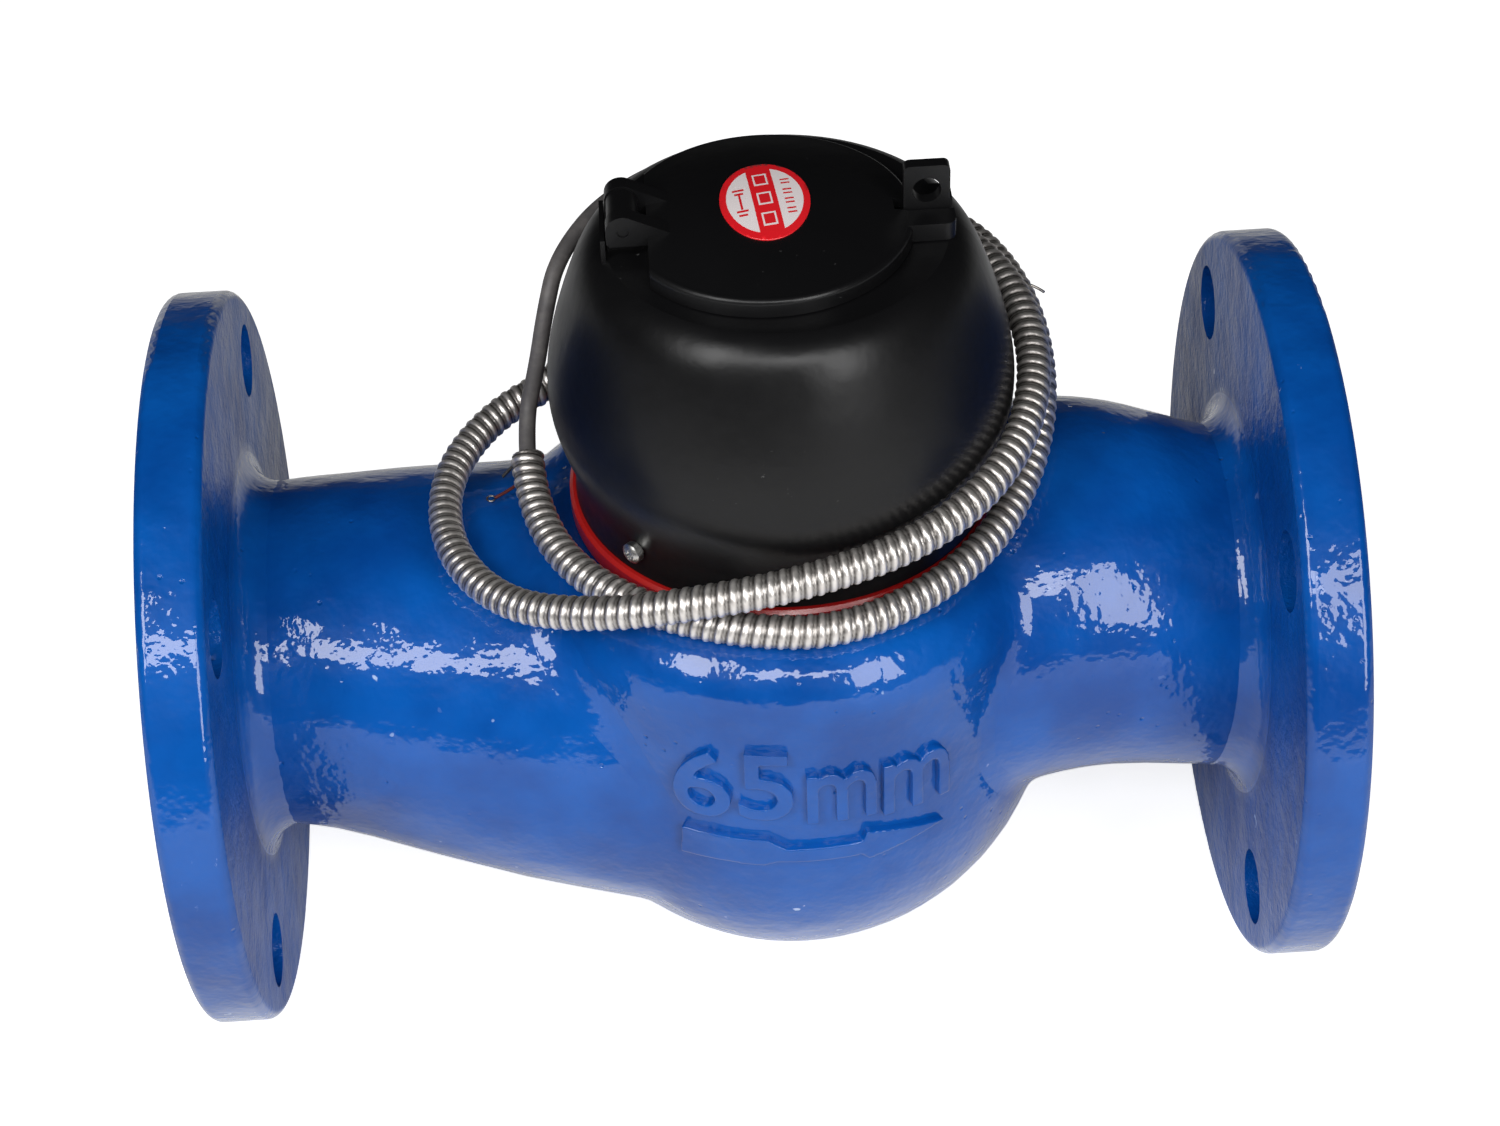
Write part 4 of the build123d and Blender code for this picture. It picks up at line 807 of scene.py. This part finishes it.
def bar(x, y, w, h):
    return [(x - w / 2, y - h / 2), (x + w / 2, y - h / 2), (x + w / 2, y + h / 2), (x - w / 2, y + h / 2)]


disc_turns = [math.radians(5 * k) for k in range(72)]
disc = [(STICKER_RADIUS * math.cos(turn), STICKER_RADIUS * math.sin(turn)) for turn in disc_turns]
label = on_sticker("oval_label", [disc], finish["sticker_paper"], 0.0)

# The label's edge goes down into the lid
edge = bmesh.new()
edge.from_mesh(label.data)
rim_edges = [e for e in edge.edges if e.is_boundary]
skirt = bmesh.ops.extrude_edge_only(edge, edges=rim_edges)
for v in [g for g in skirt["geom"] if isinstance(g, bmesh.types.BMVert)]:
    v.co.z -= STICKER_LIFT + 0.0001
bmesh.ops.recalc_face_normals(edge, faces=edge.faces[:])
edge.to_mesh(label.data)
edge.free()
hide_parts("inspection_sticker")
on_sticker("sticker_pale_left", [segment(-1)], label_pale, FIRST_PRINT)
on_sticker("sticker_pale_right", [segment(1)], label_pale, FIRST_PRINT)
box_rows = (-5.2, 0, 5.2)
on_sticker("sticker_blank_boxes", [bar(0, y, 3.2, 3.2) for y in box_rows], label_pale, FIRST_PRINT)
on_sticker("sticker_box_middles", [bar(0, y, 2.4, 2.4) for y in box_rows], print_red, SECOND_PRINT)
left_bars = [(3.1, 2.6, 0.5), (2.1, 2.0, 0.5), (-2.4, 2.6, 0.5), (-3.4, 2.0, 0.5), (0, 0.5, 4.0)]
on_sticker("sticker_dark_blocks", [bar(-5.4, *spot) for spot in left_bars], print_red, SECOND_PRINT)
rule_rows = (-4.4, -3.4, -1.9, -0.9, 0.6, 1.6, 3.4, 4.4)
on_sticker("sticker_dark_rules", [bar(5.3, y, 2.0, 0.4) for y in rule_rows], print_red, SECOND_PRINT)


# Dial and number drums

PRINT_LIFT = 0.00002
PRINT_BOLD = 0.01
PRINT_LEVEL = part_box("dial_plate")[1].z + PRINT_LIFT
drum_boxes = [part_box(f"number_drum_{k}") for k in range(1, 6)]
DRUM_Y = (drum_boxes[1][0].y + drum_boxes[1][1].y) / 2
DRUM_Z = (drum_boxes[1][0].z + drum_boxes[1][1].z) / 2
DRUM_RADIUS = (drum_boxes[1][1].z - drum_boxes[1][0].z) / 2
DIGIT_FROM_FACE = 0.0019
DIGIT_HEIGHT = 0.0027


def add_to(target, bm):
    """Moves the faces of one bmesh into another and frees the first."""
    mesh = bpy.data.meshes.new("print")
    bm.to_mesh(mesh)
    bm.free()
    target.from_mesh(mesh)
    bpy.data.meshes.remove(mesh)


for number, (low, high) in enumerate(drum_boxes, start=1):
    middle = low.x + DIGIT_FROM_FACE
    rim = bmesh.new()
    for digit in range(10):
        glyph, (wide, tall) = text_mesh(str(digit), PRINT_BOLD)
        scale = DIGIT_HEIGHT / tall
        for v in glyph.verts:
            v.co = (v.co.x * scale, v.co.y * scale, 0)
        slice_mesh(glyph, 1, 0.0003)
        for v in glyph.verts:
            turn = v.co.y / DRUM_RADIUS + math.radians(36 * digit)
            reach = DRUM_RADIUS + 0.00003
            v.co = (middle + v.co.x, DRUM_Y + reach * math.sin(turn), DRUM_Z + reach * math.cos(turn))
        add_to(rim, glyph)
    digits = finish_bmesh(f"drum_digits_{number}", rim, print_white, smooth=False)
    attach(digits, f"drum_{number}")

dial_print = bmesh.new()
dial_red = bmesh.new()


def stamp(target, body, x, y, height):
    """Prints words on the dial, centred on a place."""
    glyph, (wide, tall) = text_mesh(body, PRINT_BOLD)
    scale = height / tall
    for v in glyph.verts:
        v.co = (x + v.co.x * scale, y + v.co.y * scale, PRINT_LEVEL)
    add_to(target, glyph)


def tick(target, cx, cy, angle, inner, outer, width=0.00025):
    """Prints a short line on the dial that points away from a centre."""
    spoke = Vector((math.cos(angle), math.sin(angle), 0))
    across = Vector((-spoke.y, spoke.x, 0)) * width / 2
    middle = Vector((cx, cy, PRINT_LEVEL))
    corners = [middle + spoke * inner - across, middle + spoke * outer - across,
               middle + spoke * outer + across, middle + spoke * inner + across]
    target.faces.new([target.verts.new(c) for c in corners])


WINDOW_MARGIN = 0.0012
WINDOW_HALF = 0.0045
POINTER_TIP = 0.0042
NUMBER_CIRCLE = 0.0062
TICK_CIRCLE = 0.005
window_left = drum_boxes[4][0].x - WINDOW_MARGIN
window_right = drum_boxes[0][1].x + WINDOW_MARGIN


def in_window(x, y):
    """Whether a place on the dial lies in the opening for the drums."""
    return window_left < x < window_right and abs(y - DRUM_Y) < WINDOW_HALF


for k in range(1, 5):
    low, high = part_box(f"pointer_{k}")
    hub_x = (low.x + high.x) / 2
    hub_y = high.y - POINTER_TIP
    for n in range(10):
        angle = math.radians(90 - 36 * n)
        px, py = hub_x + NUMBER_CIRCLE * math.cos(angle), hub_y + NUMBER_CIRCLE * math.sin(angle)
        if not in_window(px, py):
            stamp(dial_print, str(n), px, py, 0.0014)
        for m in range(2):
            turn = angle + math.radians(18 * m)
            qx, qy = hub_x + TICK_CIRCLE * math.cos(turn), hub_y + TICK_CIRCLE * math.sin(turn)
            if not in_window(qx, qy):
                tick(dial_red, hub_x, hub_y, turn, 0.0046, 0.0053 if m else 0.0051)
stamp(dial_print, "m3", REGISTER_X + 0.002, DRUM_Y + 0.0095, 0.0028)
for n in range(72):
    tick(dial_print, REGISTER_X, 0, math.radians(5 * n), 0.0305, 0.0318 if n % 6 else 0.0325)
black_print = finish_bmesh("dial_black_print", dial_print, print_black, smooth=False)
red_print = finish_bmesh("dial_red_print", dial_red, print_red, smooth=False)
for piece in (black_print, red_print):
    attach(piece, "housing")


# Floor, world and lamps

def floor_material():
    """A white floor that keeps its shadows, glows for the camera and less so in reflections."""
    material = bpy.data.materials.new("studio_floor")
    material.use_nodes = True
    tree = material.node_tree
    shader = tree.nodes["Principled BSDF"]
    output = tree.nodes["Material Output"]
    place = tree.nodes.new("ShaderNodeTexCoord").outputs["Object"]
    grain = tree.nodes.new("ShaderNodeTexNoise")
    grain.inputs["Scale"].default_value = 120.0
    tree.links.new(place, grain.inputs["Vector"])
    shade = tree.nodes.new("ShaderNodeMapRange")
    shade.inputs["To Min"].default_value = 0.86
    shade.inputs["To Max"].default_value = 0.9
    tree.links.new(grain.outputs["Fac"], shade.inputs["Value"])
    tree.links.new(shade.outputs["Result"], shader.inputs["Base Color"])
    shader.inputs["Roughness"].default_value = 0.9
    shader.inputs["Specular IOR Level"].default_value = 0.1
    path = tree.nodes.new("ShaderNodeLightPath")
    seen = tree.nodes.new("ShaderNodeMath")
    seen.operation = "MAXIMUM"
    tree.links.new(path.outputs["Is Glossy Ray"], seen.inputs[0])
    tree.links.new(path.outputs["Is Transmission Ray"], seen.inputs[1])
    reflected = tree.nodes.new("ShaderNodeMath")
    reflected.operation = "MULTIPLY"
    reflected.inputs[1].default_value = 0.12
    tree.links.new(seen.outputs[0], reflected.inputs[0])
    direct = tree.nodes.new("ShaderNodeMath")
    direct.operation = "MULTIPLY_ADD"
    direct.inputs[1].default_value = 0.80
    tree.links.new(path.outputs["Is Camera Ray"], direct.inputs[0])
    tree.links.new(reflected.outputs[0], direct.inputs[2])
    glow = tree.nodes.new("ShaderNodeEmission")
    tree.links.new(direct.outputs[0], glow.inputs["Strength"])
    both = tree.nodes.new("ShaderNodeAddShader")
    tree.links.new(shader.outputs[0], both.inputs[0])
    tree.links.new(glow.outputs[0], both.inputs[1])
    tree.links.new(both.outputs[0], output.inputs["Surface"])
    return material


floor_mesh = bpy.data.meshes.new("floor")
floor_mesh.from_pydata([(-6, -6, 0), (6, -6, 0), (6, 6, 0), (-6, 6, 0)], [], [(0, 1, 2, 3)])
floor_mesh.materials.append(floor_material())
floor = bpy.data.objects.new("floor", floor_mesh)
floor.location = (REGISTER_X, 0, FLOOR_Z)
scene.collection.objects.link(floor)
floor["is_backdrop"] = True

# The world is white to the camera, even to diffuse rays, and dark overhead in reflections
world = bpy.data.worlds.new("studio")
scene.world = world
world.use_nodes = True
tree = world.node_tree
background = tree.nodes["Background"]
path = tree.nodes.new("ShaderNodeLightPath")
coords = tree.nodes.new("ShaderNodeTexCoord")
split = tree.nodes.new("ShaderNodeSeparateXYZ")
tree.links.new(coords.outputs["Generated"], split.inputs[0])
wall = tree.nodes.new("ShaderNodeMapRange")
wall.interpolation_type = "SMOOTHSTEP"
for key, number in (("From Min", 0.0), ("From Max", 0.3), ("To Min", 0.50), ("To Max", 0.045)):
    wall.inputs[key].default_value = number
tree.links.new(split.outputs["Z"], wall.inputs["Value"])
ambient = tree.nodes.new("ShaderNodeMix")
ambient.data_type = "FLOAT"
ambient.inputs[2].default_value = 0.82
seen = tree.nodes.new("ShaderNodeMath")
seen.operation = "MAXIMUM"
tree.links.new(path.outputs["Is Glossy Ray"], seen.inputs[0])
tree.links.new(path.outputs["Is Transmission Ray"], seen.inputs[1])
tree.links.new(seen.outputs[0], ambient.inputs[0])
tree.links.new(wall.outputs["Result"], ambient.inputs[3])
white = tree.nodes.new("ShaderNodeMix")
white.data_type = "FLOAT"
white.inputs[3].default_value = 1.0
tree.links.new(path.outputs["Is Camera Ray"], white.inputs[0])
tree.links.new(ambient.outputs[0], white.inputs[2])
tree.links.new(white.outputs[0], background.inputs["Strength"])


def softbox(name, place, target, wide, tall, power):
    data = bpy.data.lights.new(name, "AREA")
    data.shape = "RECTANGLE"
    data.size = wide
    data.size_y = tall
    data.energy = power
    lamp = bpy.data.objects.new(name, data)
    scene.collection.objects.link(lamp)
    lamp.location = place
    lamp.rotation_mode = "QUATERNION"
    lamp.rotation_quaternion = (Vector(target) - Vector(place)).to_track_quat("-Z", "Y")


part_middle = (FACE_TO_FACE / 2, 0.0, 0.0)
softbox("left_box", (-0.56, -0.70, 0.92), part_middle, 0.38, 0.70, 7.5)
softbox("front_box", (0.05, -0.95, 0.92), part_middle, 0.80, 0.22, 5.0)
softbox("right_box", (0.72, -1.0, 0.62), part_middle, 0.44, 0.80, 7.5)


low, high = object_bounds()
